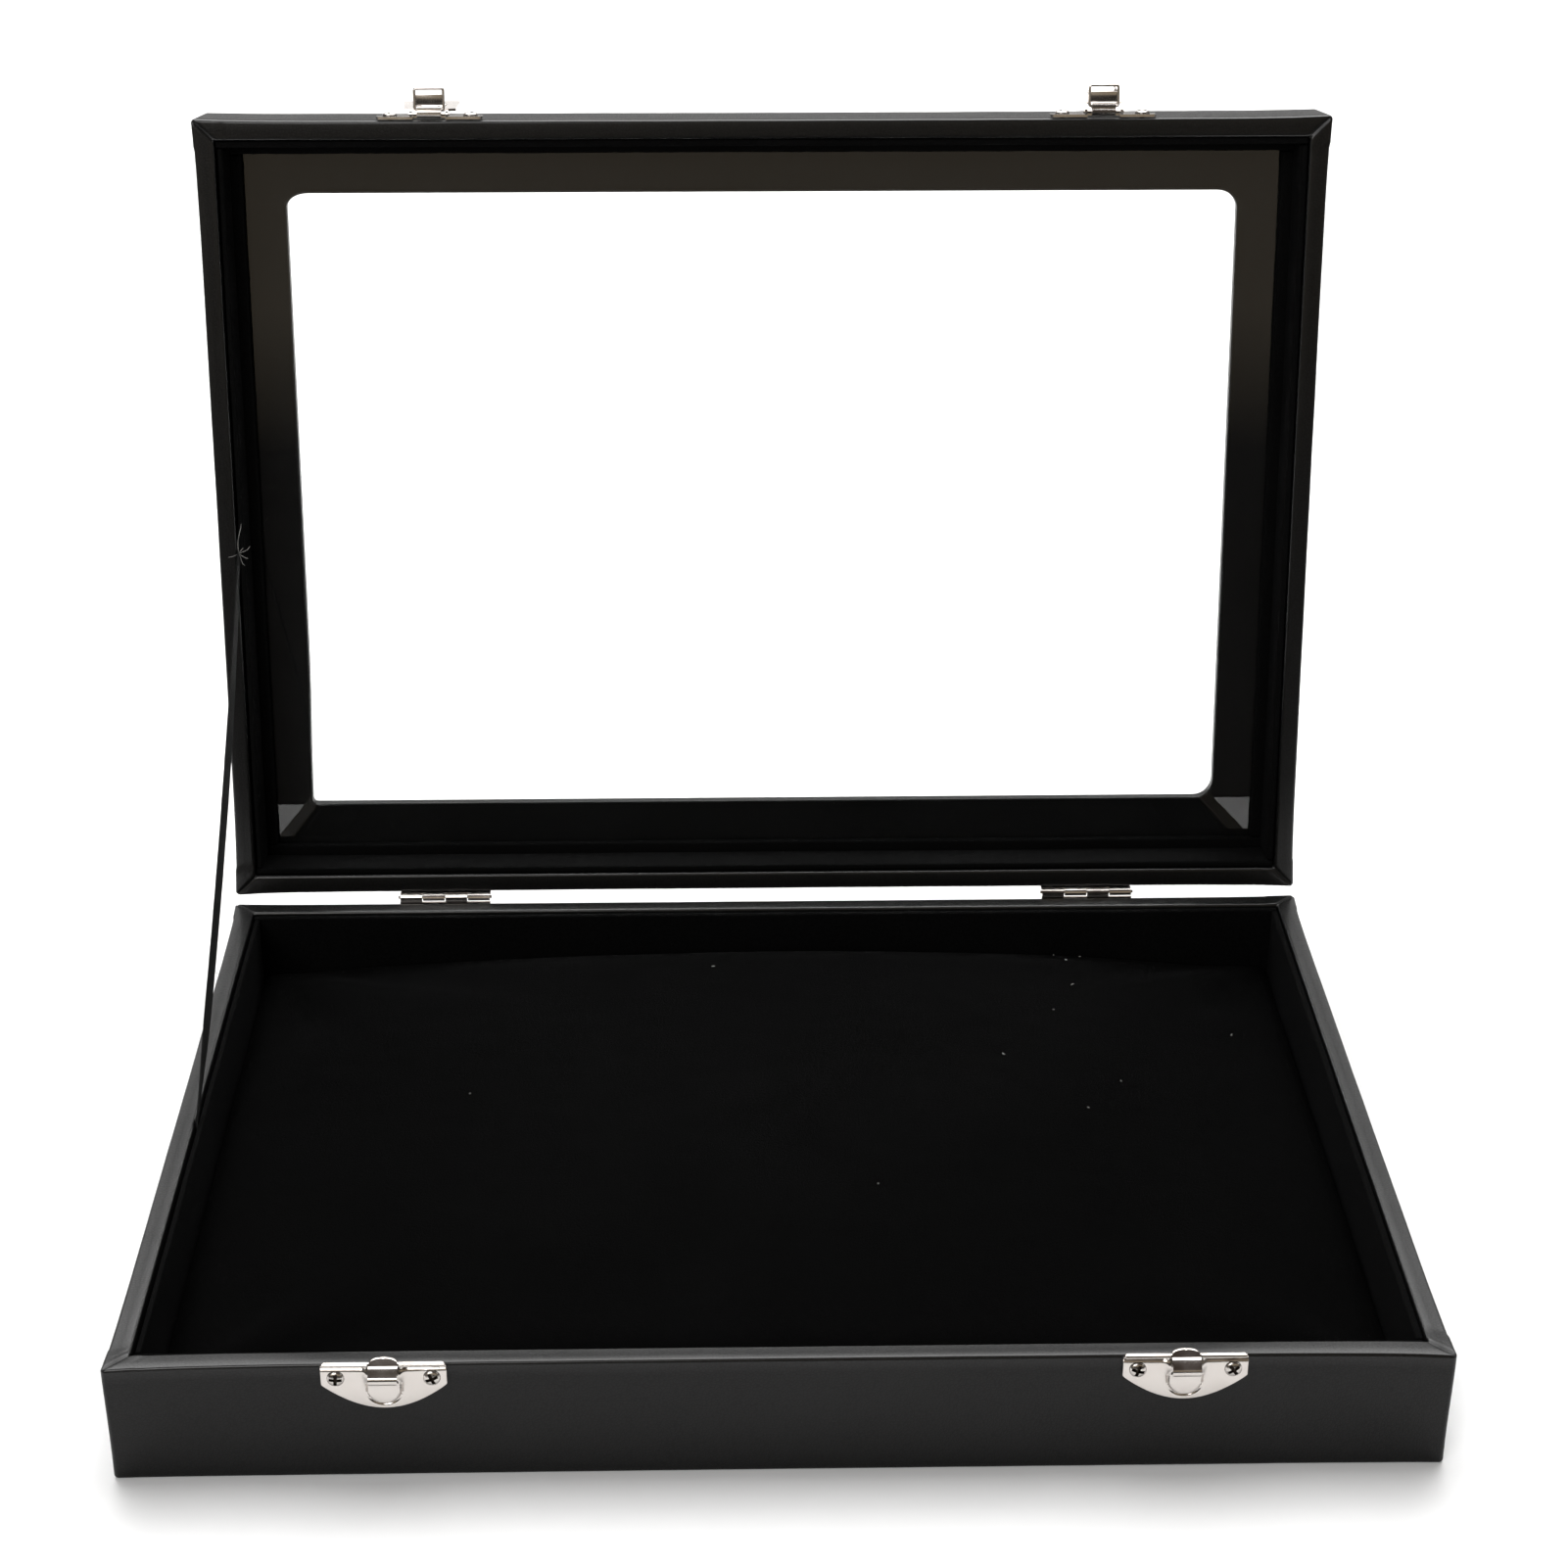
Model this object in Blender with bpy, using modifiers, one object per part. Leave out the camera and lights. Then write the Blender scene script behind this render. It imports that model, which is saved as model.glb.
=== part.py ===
"""Leatherette display case with a hinged glass lid, standing open.

Wooden base and lid frames are covered in leatherette and lined with velvet. The lid holds a glass
pane and turns on two butt hinges until a ribbon stay pulls tight. Two lever catches on the lid's
front close over hooks on the base. Everything is drawn as closed and latched, in metres with +Z up
and the origin at the middle of the underside; empties on the pivots then turn it to the open pose.
"""

import math

import bmesh
import bpy
from mathutils import Matrix, Vector

# Overall
WIDTH = 0.355
DEPTH = 0.255
BASE_HEIGHT = 0.0358
LID_HEIGHT = 0.025
RIM_GAP = 0.003
OPEN_ANGLE = math.radians(98.5)

# Walls, from outside to inside: skin, wood, skin, lining
SKIN = 0.0007
GAP = 0.0003
WOOD = 0.004
LINING = 0.002
LINING_DROP = 0.001
TURN_IN = 0.009
TURN_UNDER = 0.015
BOTTOM_BOARD = 0.003

# Velvet pad
PAD_BOARD = 0.002
PAD_EDGE = 0.0205
PAD_RISE_ALONG = 0.006
PAD_RISE_ACROSS = 0.0015
PAD_CLEARANCE = 0.0004
PAD_OVERHANG = 0.002

# Window and glass
WINDOW_BORDER = 0.0248
WINDOW_RADIUS = 0.008
PANEL = 0.003
GLASS = 0.002
RETAINER_WIDTH = 0.0035
RETAINER_HEIGHT = 0.003

# Hinges
HINGE_OFFSET = 0.108
HINGE_LENGTH = 0.0302
KNUCKLES = 4
BARREL_RADIUS = 0.00125
HINGE_PIN_RADIUS = 0.0005
HINGE_SETBACK = 0.0013
LEAF = 0.0008
LEAF_HEIGHT = 0.0105
HINGE_SCREW_SPACING = 0.018
HINGE_SCREW_DROP = 0.0055
RUNNING = 0.00013

# Catches
CATCH_X = {"left": -0.1043, "right": 0.1064}
PLATE = 0.0008
PLATE_HALF_WIDTH = 0.01655
PLATE_SIDE = 0.0048
PLATE_LENGTH = 0.0141
PLATE_CORNER = 0.0012
PLATE_RAISE = 0.0017
LID_PLATE_INSET = 0.0004
CATCH_SCREW_SPACING = 0.0252
CATCH_SCREW_DROP = 0.0045
BEAD = 0.0009
NOTCH_HALF_WIDTH = 0.0051
NOTCH_DEPTH = 0.0047
EAR = 0.0008
EAR_RADIUS = 0.0012
LEVER_PIN_RADIUS = 0.0005
LEVER_PIN_OUT = 0.0019
LEVER_PIN_UP = 0.0013
LEVER_HALF_NECK = 0.0038
LEVER_HALF_WIDTH = 0.00885
LEVER_LENGTH = 0.0128
LEVER_SHOULDER = 0.0034
LEVER_THICKNESS = 0.0008
LEVER_OUT = 0.0017
BOSS_RADIUS = 0.0053
LOOP_WIRE = 0.00045
LOOP_HALF_WIDTH = 0.0045
LOOP_PIVOT_OUT = 0.0030
LOOP_PIVOT_UP = 0.0013
LOOP_CORNER = 0.0006
HOOK_HALF_WIDTH = 0.0035
HOOK_METAL = 0.0006
HOOK_DROP = 0.0046
BAR_BELOW_RIM = 0.0004
TONGUE_RADIUS = 0.0037
TONGUE_RISE = 0.0030

# Screws
SCREW_HEAD_RADIUS = 0.0023
SCREW_HEAD_HEIGHT = 0.0009
SCREW_SHANK_RADIUS = 0.0008
SCREW_LENGTH = 0.0048

# Ribbon stay
RIBBON_WIDTH = 0.0026
RIBBON = 0.0004
RIBBON_BASE_Y = -0.008
RIBBON_LID_Y = 0.0105
RIBBON_TUCK = 0.007

# Catch pieces at rest: each lever's lift from flat, in radians
LEVER_LIFT = {"left": math.radians(10), "right": math.radians(40)}

# Derived
WALL = SKIN + GAP + WOOD + GAP + SKIN
LINING_IN = WALL + GAP
LINED = LINING_IN + LINING
LID_BOTTOM = BASE_HEIGHT + RIM_GAP
LID_TOP = LID_BOTTOM + LID_HEIGHT
PANEL_TOP = LID_TOP - SKIN - GAP
PANEL_BOTTOM = PANEL_TOP - PANEL
GLASS_TOP = PANEL_BOTTOM - 2 * GAP
GLASS_BOTTOM = GLASS_TOP - GLASS
FRONT = -DEPTH / 2
REAR = DEPTH / 2
HINGE_AXIS = Vector((0, REAR + HINGE_SETBACK, BASE_HEIGHT + RIM_GAP / 2))
BAR_Z = BASE_HEIGHT - BAR_BELOW_RIM
SIDES = (("left", -1), ("right", 1))

for old in list(bpy.data.objects):
    bpy.data.objects.remove(old, do_unlink=True)

parts = bpy.data.collections.new("coin_display_frame")
cutters = bpy.data.collections.new("cutters")
bpy.context.scene.collection.children.link(parts)
bpy.context.scene.collection.children.link(cutters)


def material(name, colour, roughness, metallic=0.0, transmission=0.0):
    made = bpy.data.materials.new(name)
    made.use_nodes = True
    shader = made.node_tree.nodes["Principled BSDF"]
    shader.inputs["Base Color"].default_value = (*colour, 1)
    shader.inputs["Roughness"].default_value = roughness
    shader.inputs["Metallic"].default_value = metallic
    shader.inputs["Transmission Weight"].default_value = transmission
    return made


LEATHERETTE = material("leatherette", (0.018, 0.018, 0.018), 0.45)
VELVET = material("velvet", (0.004, 0.004, 0.004), 0.95)
TIMBER = material("timber", (0.45, 0.30, 0.16), 0.7)
BLACK_BOARD = material("black_board", (0.01, 0.01, 0.01), 0.5)
CARD = material("card", (0.25, 0.22, 0.18), 0.8)
NICKEL = material("nickel", (0.72, 0.68, 0.64), 0.18, metallic=1.0)
CLEAR = material("glass", (0.95, 0.97, 0.96), 0.02, transmission=1.0)
RIBBON_CLOTH = material("ribbon", (0.012, 0.012, 0.012), 0.7)


def pivot(name, closed_place, turn, carrier=None):
    """An empty on a pivot. Its pieces are drawn at their closed places and turn with it."""
    empty = bpy.data.objects.new(name, None)
    parts.objects.link(empty)
    empty.location = closed_place
    empty.rotation_euler.x = turn
    ride(empty, carrier)
    return empty, Vector(closed_place)


def ride(piece, carrier):
    if carrier is not None:
        empty, closed_place = carrier
        piece.parent = empty
        piece.matrix_parent_inverse = Matrix.Translation(-closed_place)


def add(name, mesh, finish, carrier=None, smooth=False):
    """A piece drawn at its closed place, with its origin at the middle of its box."""
    corners = [vertex.co for vertex in mesh.vertices]
    middle = Vector(
        [(min(c[i] for c in corners) + max(c[i] for c in corners)) / 2 for i in range(3)]
    )
    mesh.transform(Matrix.Translation(-middle))
    if smooth:
        mesh.shade_smooth()
        mesh.set_sharp_from_angle(angle=math.radians(35))
    piece = bpy.data.objects.new(name, mesh)
    piece.location = middle
    ride(piece, carrier)
    if finish is None:
        cutters.objects.link(piece)
        piece.hide_render = True
        piece.display_type = "WIRE"
    else:
        mesh.materials.append(finish)
        parts.objects.link(piece)
    return piece


def mesh_of(shape, name):
    mesh = bpy.data.meshes.new(name)
    bmesh.ops.recalc_face_normals(shape, faces=shape.faces)
    shape.to_mesh(mesh)
    shape.free()
    return mesh


def box(name, low, high, finish, carrier=None, bevel=0.0):
    shape = bmesh.new()
    low, high = Vector(low), Vector(high)
    size = high - low
    place = Matrix.Translation((low + high) / 2) @ Matrix.Diagonal((*size, 1))
    bmesh.ops.create_cube(shape, size=1, matrix=place)
    if bevel:
        bmesh.ops.bevel(
            shape, geom=shape.edges[:], offset=bevel, segments=2, profile=0.5, affect="EDGES"
        )
    return add(name, mesh_of(shape, name), finish, carrier)


def rod(name, middle, along, radius, length, finish, carrier=None, segments=16):
    """A cylinder along the X or Y axis."""
    turn = Matrix.Rotation(math.pi / 2, 4, "Y" if along == "X" else "X")
    shape = bmesh.new()
    bmesh.ops.create_cone(
        shape,
        cap_ends=True,
        segments=segments,
        radius1=radius,
        radius2=radius,
        depth=length,
        matrix=Matrix.Translation(middle) @ turn,
    )
    return add(name, mesh_of(shape, name), finish, carrier, smooth=True)


def flat_piece(name, outline, low, thickness, finish, carrier=None, along="Y"):
    """A flat outline given in X and Z (or in Y and Z for along X), thickened from low upwards."""
    curve = bpy.data.curves.new(name, "CURVE")
    curve.dimensions = "2D"
    curve.fill_mode = "BOTH"
    curve.extrude = thickness / 2
    spline = curve.splines.new("POLY")
    spline.points.add(len(outline) - 1)
    for point, (across, up) in zip(spline.points, outline):
        point.co = (across, up, 0, 1)
    spline.use_cyclic_u = True
    drawn = bpy.data.objects.new(name + "_outline", curve)
    cutters.objects.link(drawn)
    graph = bpy.context.evaluated_depsgraph_get()
    mesh = bpy.data.meshes.new_from_object(drawn.evaluated_get(graph))
    bpy.data.objects.remove(drawn, do_unlink=True)
    shape = bmesh.new()
    shape.from_mesh(mesh)
    bmesh.ops.remove_doubles(shape, verts=shape.verts, dist=0.000001)
    stand = Matrix.Rotation(math.pi / 2, 4, "X")
    if along == "X":
        stand = Matrix.Rotation(math.pi / 2, 4, "Z") @ stand
    bmesh.ops.transform(shape, matrix=stand, verts=shape.verts)
    shift = Vector((0, low + thickness / 2, 0))
    if along == "X":
        shift = Vector((low + thickness / 2, 0, 0))
    bmesh.ops.translate(shape, vec=shift, verts=shape.verts)
    return add(name, mesh_of(shape, name), finish, carrier)


def combine(piece, other, operation):
    modifier = piece.modifiers.new(operation.lower() + "_" + other.name, "BOOLEAN")
    modifier.operation = operation
    modifier.object = other
    return piece


def arc(centre, radius, start, end, steps):
    """Points on an arc, with angles in degrees."""
    turns = [math.radians(start + (end - start) * i / steps) for i in range(steps + 1)]
    return [(centre[0] + radius * math.cos(t), centre[1] + radius * math.sin(t)) for t in turns]


def ring_strips(stem, inset, width, low, high, finish, carrier=None, ends=0):
    """Four strips round the inside of the case: sides between a long front and rear.

    The front and rear are shorter by ends at both ends.
    """
    across = WIDTH / 2 - inset
    deep = DEPTH / 2 - inset
    spans = {
        "front": ((ends - across, -deep, low), (across - ends, -deep + width, high)),
        "rear": ((ends - across, deep - width, low), (across - ends, deep, high)),
        "left": ((-across, -deep + width + GAP, low), (-across + width, deep - width - GAP, high)),
        "right": ((across - width, -deep + width + GAP, low), (across, deep - width - GAP, high)),
    }
    return {side: box(f"{stem}_{side}", *span, finish, carrier) for side, span in spans.items()}


def delete_middle(shape, up, inset):
    """Insets the flat face that looks along up and removes its middle; returns the new opening's edges."""
    face = next(f for f in shape.faces if f.normal.dot(up) > 0.9)
    bmesh.ops.inset_region(shape, faces=[face], thickness=inset, use_even_offset=True)
    edges = face.edges[:]
    bmesh.ops.delete(shape, geom=[face], context="FACES_ONLY")
    return edges


def turn_edge(shape, edges, distance):
    """Extrudes an opening's edges straight up or down by distance; returns the upright edges."""
    made = bmesh.ops.extrude_edge_only(shape, edges=edges)["geom"]
    verts = [part for part in made if isinstance(part, bmesh.types.BMVert)]
    bmesh.ops.translate(shape, vec=(0, 0, distance), verts=verts)
    moved = set(verts)
    return [
        edge
        for edge in shape.edges
        if len(moved & set(edge.verts)) == 1 and abs(edge.verts[0].co.z - edge.verts[1].co.z) > 0.001
    ]


def covering(name, low, high, rim_up, far_inset, far_turn, carrier=None, far_radius=0.0):
    """Leatherette wrapped round a wall: down the outside, over the rim and into the inside.

    rim_up is +1 where the rim is on top. On the far side it turns in by far_inset, and far_turn
    more is folded through the opening there, whose corners take far_radius.
    """
    shape = bmesh.new()
    size = Matrix.Diagonal((WIDTH, DEPTH, high - low, 1))
    place = Matrix.Translation((0, 0, (low + high) / 2))
    bmesh.ops.create_cube(shape, size=1, matrix=place @ size)
    rim = delete_middle(shape, Vector((0, 0, rim_up)), WALL)
    turn_edge(shape, rim, -rim_up * TURN_IN)
    far = delete_middle(shape, Vector((0, 0, -rim_up)), far_inset)
    if far_turn:
        upright = turn_edge(shape, far, rim_up * far_turn)
        bmesh.ops.bevel(
            shape, geom=upright, offset=far_radius, segments=5, profile=0.5, affect="EDGES"
        )
    piece = add(name, mesh_of(shape, name), LEATHERETTE, carrier)
    skin = piece.modifiers.new("skin", "SOLIDIFY")
    skin.solidify_mode = "NON_MANIFOLD"
    skin.nonmanifold_thickness_mode = "CONSTRAINTS"
    skin.thickness = SKIN
    skin.offset = -1
    return piece


def screw(name, place, outward, carrier=None):
    """A round-head screw whose head's underside is at place, turned about its own axis."""
    head, top, shank = SCREW_HEAD_RADIUS, SCREW_HEAD_HEIGHT, SCREW_SHANK_RADIUS
    profile = [
        (0, top),
        (head * 0.5, top * 0.9),
        (head * 0.85, top * 0.55),
        (head, 0.0001),
        (head, 0),
        (shank, 0),
        (shank, -SCREW_LENGTH + shank),
        (0, -SCREW_LENGTH),
    ]
    mesh = bpy.data.meshes.new(name)
    points = [(radius, 0, up) for radius, up in profile]
    mesh.from_pydata(points, [(i, i + 1) for i in range(len(points) - 1)], [])
    mesh.materials.append(NICKEL)
    piece = bpy.data.objects.new(name, mesh)
    parts.objects.link(piece)
    piece.location = place
    piece.rotation_euler.x = -outward * math.pi / 2
    ride(piece, carrier)
    turned = piece.modifiers.new("turned", "SCREW")
    turned.steps = turned.render_steps = 14
    turned.use_merge_vertices = True
    turned.merge_threshold = 0.00001
    turned.use_smooth_shade = True
    return piece


def screw_holes(stem, places, outward, pieces, carrier=None):
    """Drills each piece for the screws at places."""
    reach = SCREW_LENGTH + GAP
    for number, (x, y, z) in enumerate(places, 1):
        middle = (x, y - outward * (reach / 2 - 0.0002), z)
        hole = rod(
            f"{stem}_hole_{number}",
            middle,
            "Y",
            SCREW_SHANK_RADIUS + GAP,
            reach + 0.0004,
            None,
            carrier,
            segments=10,
        )
        for piece in pieces:
            combine(piece, hole, "DIFFERENCE")


def walls(stem, low, high, carrier=None):
    return ring_strips(stem, SKIN + GAP, WOOD, low, high, TIMBER, carrier)


def named_walls(made):
    for side, piece in made.items():
        stem = piece.name.rsplit("_", 1)[0]
        piece.name = f"{stem}_{side}_wall"
    return made


def make_base():
    cover = covering("base_covering", 0, BASE_HEIGHT, 1, TURN_UNDER, 0)
    bottom = SKIN + GAP
    board_top = bottom + BOTTOM_BOARD
    sheet_x, sheet_y = WIDTH / 2 - TURN_UNDER - GAP, DEPTH / 2 - TURN_UNDER - GAP
    box("base_bottom_sheet", (-sheet_x, -sheet_y, 0), (sheet_x, sheet_y, SKIN), LEATHERETTE)
    board_x, board_y = WIDTH / 2 - bottom, DEPTH / 2 - bottom
    box("base_bottom_board", (-board_x, -board_y, bottom), (board_x, board_y, board_top), TIMBER)
    wood = named_walls(walls("base", board_top + GAP, BASE_HEIGHT - SKIN - GAP))
    lining = ring_strips(
        "base_lining", LINING_IN, LINING, board_top + GAP, BASE_HEIGHT - LINING_DROP, VELVET
    )
    return cover, wood, lining, board_top


def make_pad(board_top):
    half_x = WIDTH / 2 - LINED - PAD_CLEARANCE
    half_y = DEPTH / 2 - LINED - PAD_CLEARANCE
    low = board_top + GAP
    board_x, board_y = half_x - PAD_OVERHANG, half_y - PAD_OVERHANG
    box("pad_board", (-board_x, -board_y, low), (board_x, board_y, low + PAD_BOARD), CARD)
    bottom = low + PAD_BOARD + GAP
    shape = bmesh.new()
    bmesh.ops.create_grid(shape, x_segments=14, y_segments=10, size=1)
    for vertex in shape.verts:
        x, y = vertex.co.x, vertex.co.y
        rise = PAD_RISE_ALONG * (1 - x * x) + PAD_RISE_ACROSS * (1 - y * y)
        vertex.co = (x * half_x, y * half_y, PAD_EDGE + rise)
    made = bmesh.ops.extrude_face_region(shape, geom=shape.faces[:])["geom"]
    for part in made:
        if isinstance(part, bmesh.types.BMVert):
            part.co.z = bottom
    add("pad_cushion", mesh_of(shape, "pad_cushion"), VELVET)


def make_lid(lid):
    cover = covering(
        "lid_covering",
        LID_BOTTOM,
        LID_TOP,
        -1,
        WINDOW_BORDER,
        LID_TOP - PANEL_BOTTOM + GAP,
        lid,
        WINDOW_RADIUS,
    )
    wood = named_walls(walls("lid", LID_BOTTOM + SKIN + GAP, PANEL_BOTTOM - GAP, lid))
    edge = SKIN + GAP
    panel = box(
        "lid_window_panel",
        (-WIDTH / 2 + edge, -DEPTH / 2 + edge, PANEL_BOTTOM),
        (WIDTH / 2 - edge, DEPTH / 2 - edge, PANEL_TOP),
        BLACK_BOARD,
        lid,
    )
    window_x = WIDTH / 2 - WINDOW_BORDER + edge
    window_y = DEPTH / 2 - WINDOW_BORDER + edge
    radius = WINDOW_RADIUS + edge
    outline = []
    for sign_x, sign_y, start in ((1, 1, 0), (-1, 1, 90), (-1, -1, 180), (1, -1, 270)):
        centre = (sign_x * (window_x - radius), sign_y * (window_y - radius))
        outline += arc(centre, radius, start, start + 90, 5)
    opening = flat_cutter("window_opening", outline, PANEL_BOTTOM - 0.001, PANEL + 0.002, lid)
    combine(panel, opening, "DIFFERENCE")
    pane_x, pane_y = WIDTH / 2 - LINING_IN, DEPTH / 2 - LINING_IN
    box(
        "glass_pane",
        (-pane_x, -pane_y, GLASS_BOTTOM),
        (pane_x, pane_y, GLASS_TOP),
        CLEAR,
        lid,
    )
    low, high = LID_BOTTOM + LINING_DROP, GLASS_BOTTOM - GAP
    lining = ring_strips("lid_lining", LINING_IN, LINING, low, high, VELVET, lid)
    half = LINING / 2
    ledges = ring_strips(
        "glass_ledge",
        LINING_IN + half,
        RETAINER_WIDTH + half,
        high - RETAINER_HEIGHT,
        high,
        None,
        lid,
        ends=half + GAP,
    )
    for side, ledge in ledges.items():
        combine(lining[side], ledge, "UNION")
    return cover, wood, lining


def flat_cutter(name, outline, low, thickness, carrier):
    """A prism that stands on a flat outline given in X and Y."""
    shape = bmesh.new()
    face = shape.faces.new([shape.verts.new((x, y, low)) for x, y in outline])
    made = bmesh.ops.extrude_face_region(shape, geom=[face])["geom"]
    verts = [part for part in made if isinstance(part, bmesh.types.BMVert)]
    bmesh.ops.translate(shape, vec=(0, 0, thickness), verts=verts)
    return add(name, mesh_of(shape, name), None, carrier)


def knuckle_spans(of_lid):
    """The X ranges of one leaf's knuckles, measured from the hinge's middle."""
    pitch = HINGE_LENGTH / KNUCKLES
    first = 1 if of_lid else 0
    for number in range(first, KNUCKLES, 2):
        start = -HINGE_LENGTH / 2 + number * pitch
        yield start + GAP / 2, start + pitch - GAP / 2


def make_leaf(name, x, of_lid, carrier=None):
    """A hinge leaf on the rear face with its knuckles round the hinge axis."""
    up = 1 if of_lid else -1
    axis_y, axis_z = HINGE_AXIS.y, HINGE_AXIS.z
    inner = REAR + GAP
    near = axis_z + up * (BARREL_RADIUS + GAP)
    far = axis_z + up * (RIM_GAP / 2 + LEAF_HEIGHT)
    half = HINGE_LENGTH / 2
    leaf = box(
        name,
        (x - half, inner, min(near, far)),
        (x + half, inner + LEAF, max(near, far)),
        NICKEL,
        carrier,
    )
    for number, (start, end) in enumerate(knuckle_spans(of_lid), 1):
        web = box(
            f"{name}_web_{number}",
            (x + start, inner, min(axis_z, near + up * 0.0004)),
            (x + end, inner + LEAF, max(axis_z, near + up * 0.0004)),
            None,
            carrier,
        )
        tube = rod(
            f"{name}_knuckle_{number}",
            (x + (start + end) / 2, axis_y, axis_z),
            "X",
            BARREL_RADIUS,
            end - start,
            None,
            carrier,
        )
        combine(leaf, web, "UNION")
        combine(leaf, tube, "UNION")
    bore = rod(
        f"{name}_bore",
        (x, axis_y, axis_z),
        "X",
        HINGE_PIN_RADIUS + RUNNING,
        HINGE_LENGTH + 0.002,
        None,
        carrier,
        segments=12,
    )
    return combine(leaf, bore, "DIFFERENCE")


def make_hinges(base, lid_pieces, lid):
    for side, sign in SIDES:
        x = sign * HINGE_OFFSET
        base_leaf = make_leaf(f"hinge_{side}_base_leaf", x, False)
        lid_leaf = make_leaf(f"hinge_{side}_lid_leaf", x, True, lid)
        rod(
            f"hinge_{side}_pin",
            (x, HINGE_AXIS.y, HINGE_AXIS.z),
            "X",
            HINGE_PIN_RADIUS,
            HINGE_LENGTH + 0.001,
            NICKEL,
            segments=12,
        )
        y = REAR + GAP + LEAF + GAP
        for owner, leaf, up, pieces, carrier in (
            ("base", base_leaf, -1, base, None),
            ("lid", lid_leaf, 1, lid_pieces, lid),
        ):
            z = HINGE_AXIS.z + up * (RIM_GAP / 2 + HINGE_SCREW_DROP)
            places = [(x + s * HINGE_SCREW_SPACING / 2, y, z) for s in (-1, 1)]
            for number, place in enumerate(places, 1):
                screw(f"hinge_{side}_{owner}_screw_{number}", place, 1, carrier)
            drilled = [leaf, pieces[0], pieces[1]["rear"]]
            screw_holes(f"hinge_{side}_{owner}", places, 1, drilled, carrier)


def catch_outline(x, straight, up, bump=0.0):
    """A plate with one straight edge and a lobed far edge; up is where the lobe points."""
    half, corner = PLATE_HALF_WIDTH, PLATE_CORNER
    lobe = PLATE_LENGTH - PLATE_SIDE
    points = []
    steps = 24
    for step in range(steps + 1):
        across = -half + 2 * half * step / steps
        swell = (0.5 + 0.5 * math.cos(math.pi * across / half)) ** 0.8
        points.append((x + across, straight + up * (PLATE_SIDE + lobe * swell)))
    right = arc((half - corner, corner), corner, 0, -90, 4)
    points += [(x + a, straight + up * b) for a, b in right]
    if bump:
        rise = arc((0, 0), TONGUE_RADIUS, 0, 180, 12)
        points += [(x + a, straight - up * b * bump / TONGUE_RADIUS) for a, b in rise]
    left = arc((-half + corner, corner), corner, -90, -180, 4)
    points += [(x + a, straight + up * b) for a, b in left]
    return points


def make_strike(side, x, base):
    """The base's half of a catch: plate, tongue, top bead and hook."""
    top = BASE_HEIGHT + PLATE_RAISE
    outer = FRONT - GAP - PLATE
    outline = catch_outline(x, top, -1, bump=TONGUE_RISE - PLATE_RAISE)
    strike = flat_piece(f"catch_{side}_strike", outline, outer, PLATE, NICKEL)
    bar_out = FRONT - LOOP_PIVOT_OUT
    inner_top = BAR_Z + LOOP_WIRE + 0.0002
    lip = bar_out - LOOP_WIRE - 0.0003
    round_out = 0.0008
    profile = [(outer + PLATE / 2, inner_top + HOOK_METAL)]
    profile += arc((lip - HOOK_METAL + round_out, inner_top + HOOK_METAL - round_out), round_out, 90, 180, 4)
    profile += [(lip - HOOK_METAL, BAR_Z - HOOK_DROP), (lip, BAR_Z - HOOK_DROP), (lip, inner_top)]
    profile += [(outer + PLATE / 2, inner_top)]
    hook = flat_piece(
        f"catch_{side}_hook",
        profile,
        x - HOOK_HALF_WIDTH,
        2 * HOOK_HALF_WIDTH,
        None,
        along="X",
    )
    combine(strike, hook, "UNION")
    for hand, sign in SIDES:
        inner, outside = TONGUE_RADIUS + 0.0006, PLATE_HALF_WIDTH - PLATE_CORNER
        middle = (x + sign * (inner + outside) / 2, outer, top - BEAD / 2)
        bead = rod(
            f"catch_{side}_bead_{hand}", middle, "X", BEAD / 2, outside - inner, None, segments=10
        )
        combine(strike, bead, "UNION")
    places = [
        (x + s * CATCH_SCREW_SPACING / 2, outer - GAP, top - CATCH_SCREW_DROP) for s in (-1, 1)
    ]
    for number, place in enumerate(places, 1):
        screw(f"catch_{side}_strike_screw_{number}", place, -1)
    screw_holes(f"catch_{side}_strike", places, -1, [strike, base[0], base[1]["front"]])


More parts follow.
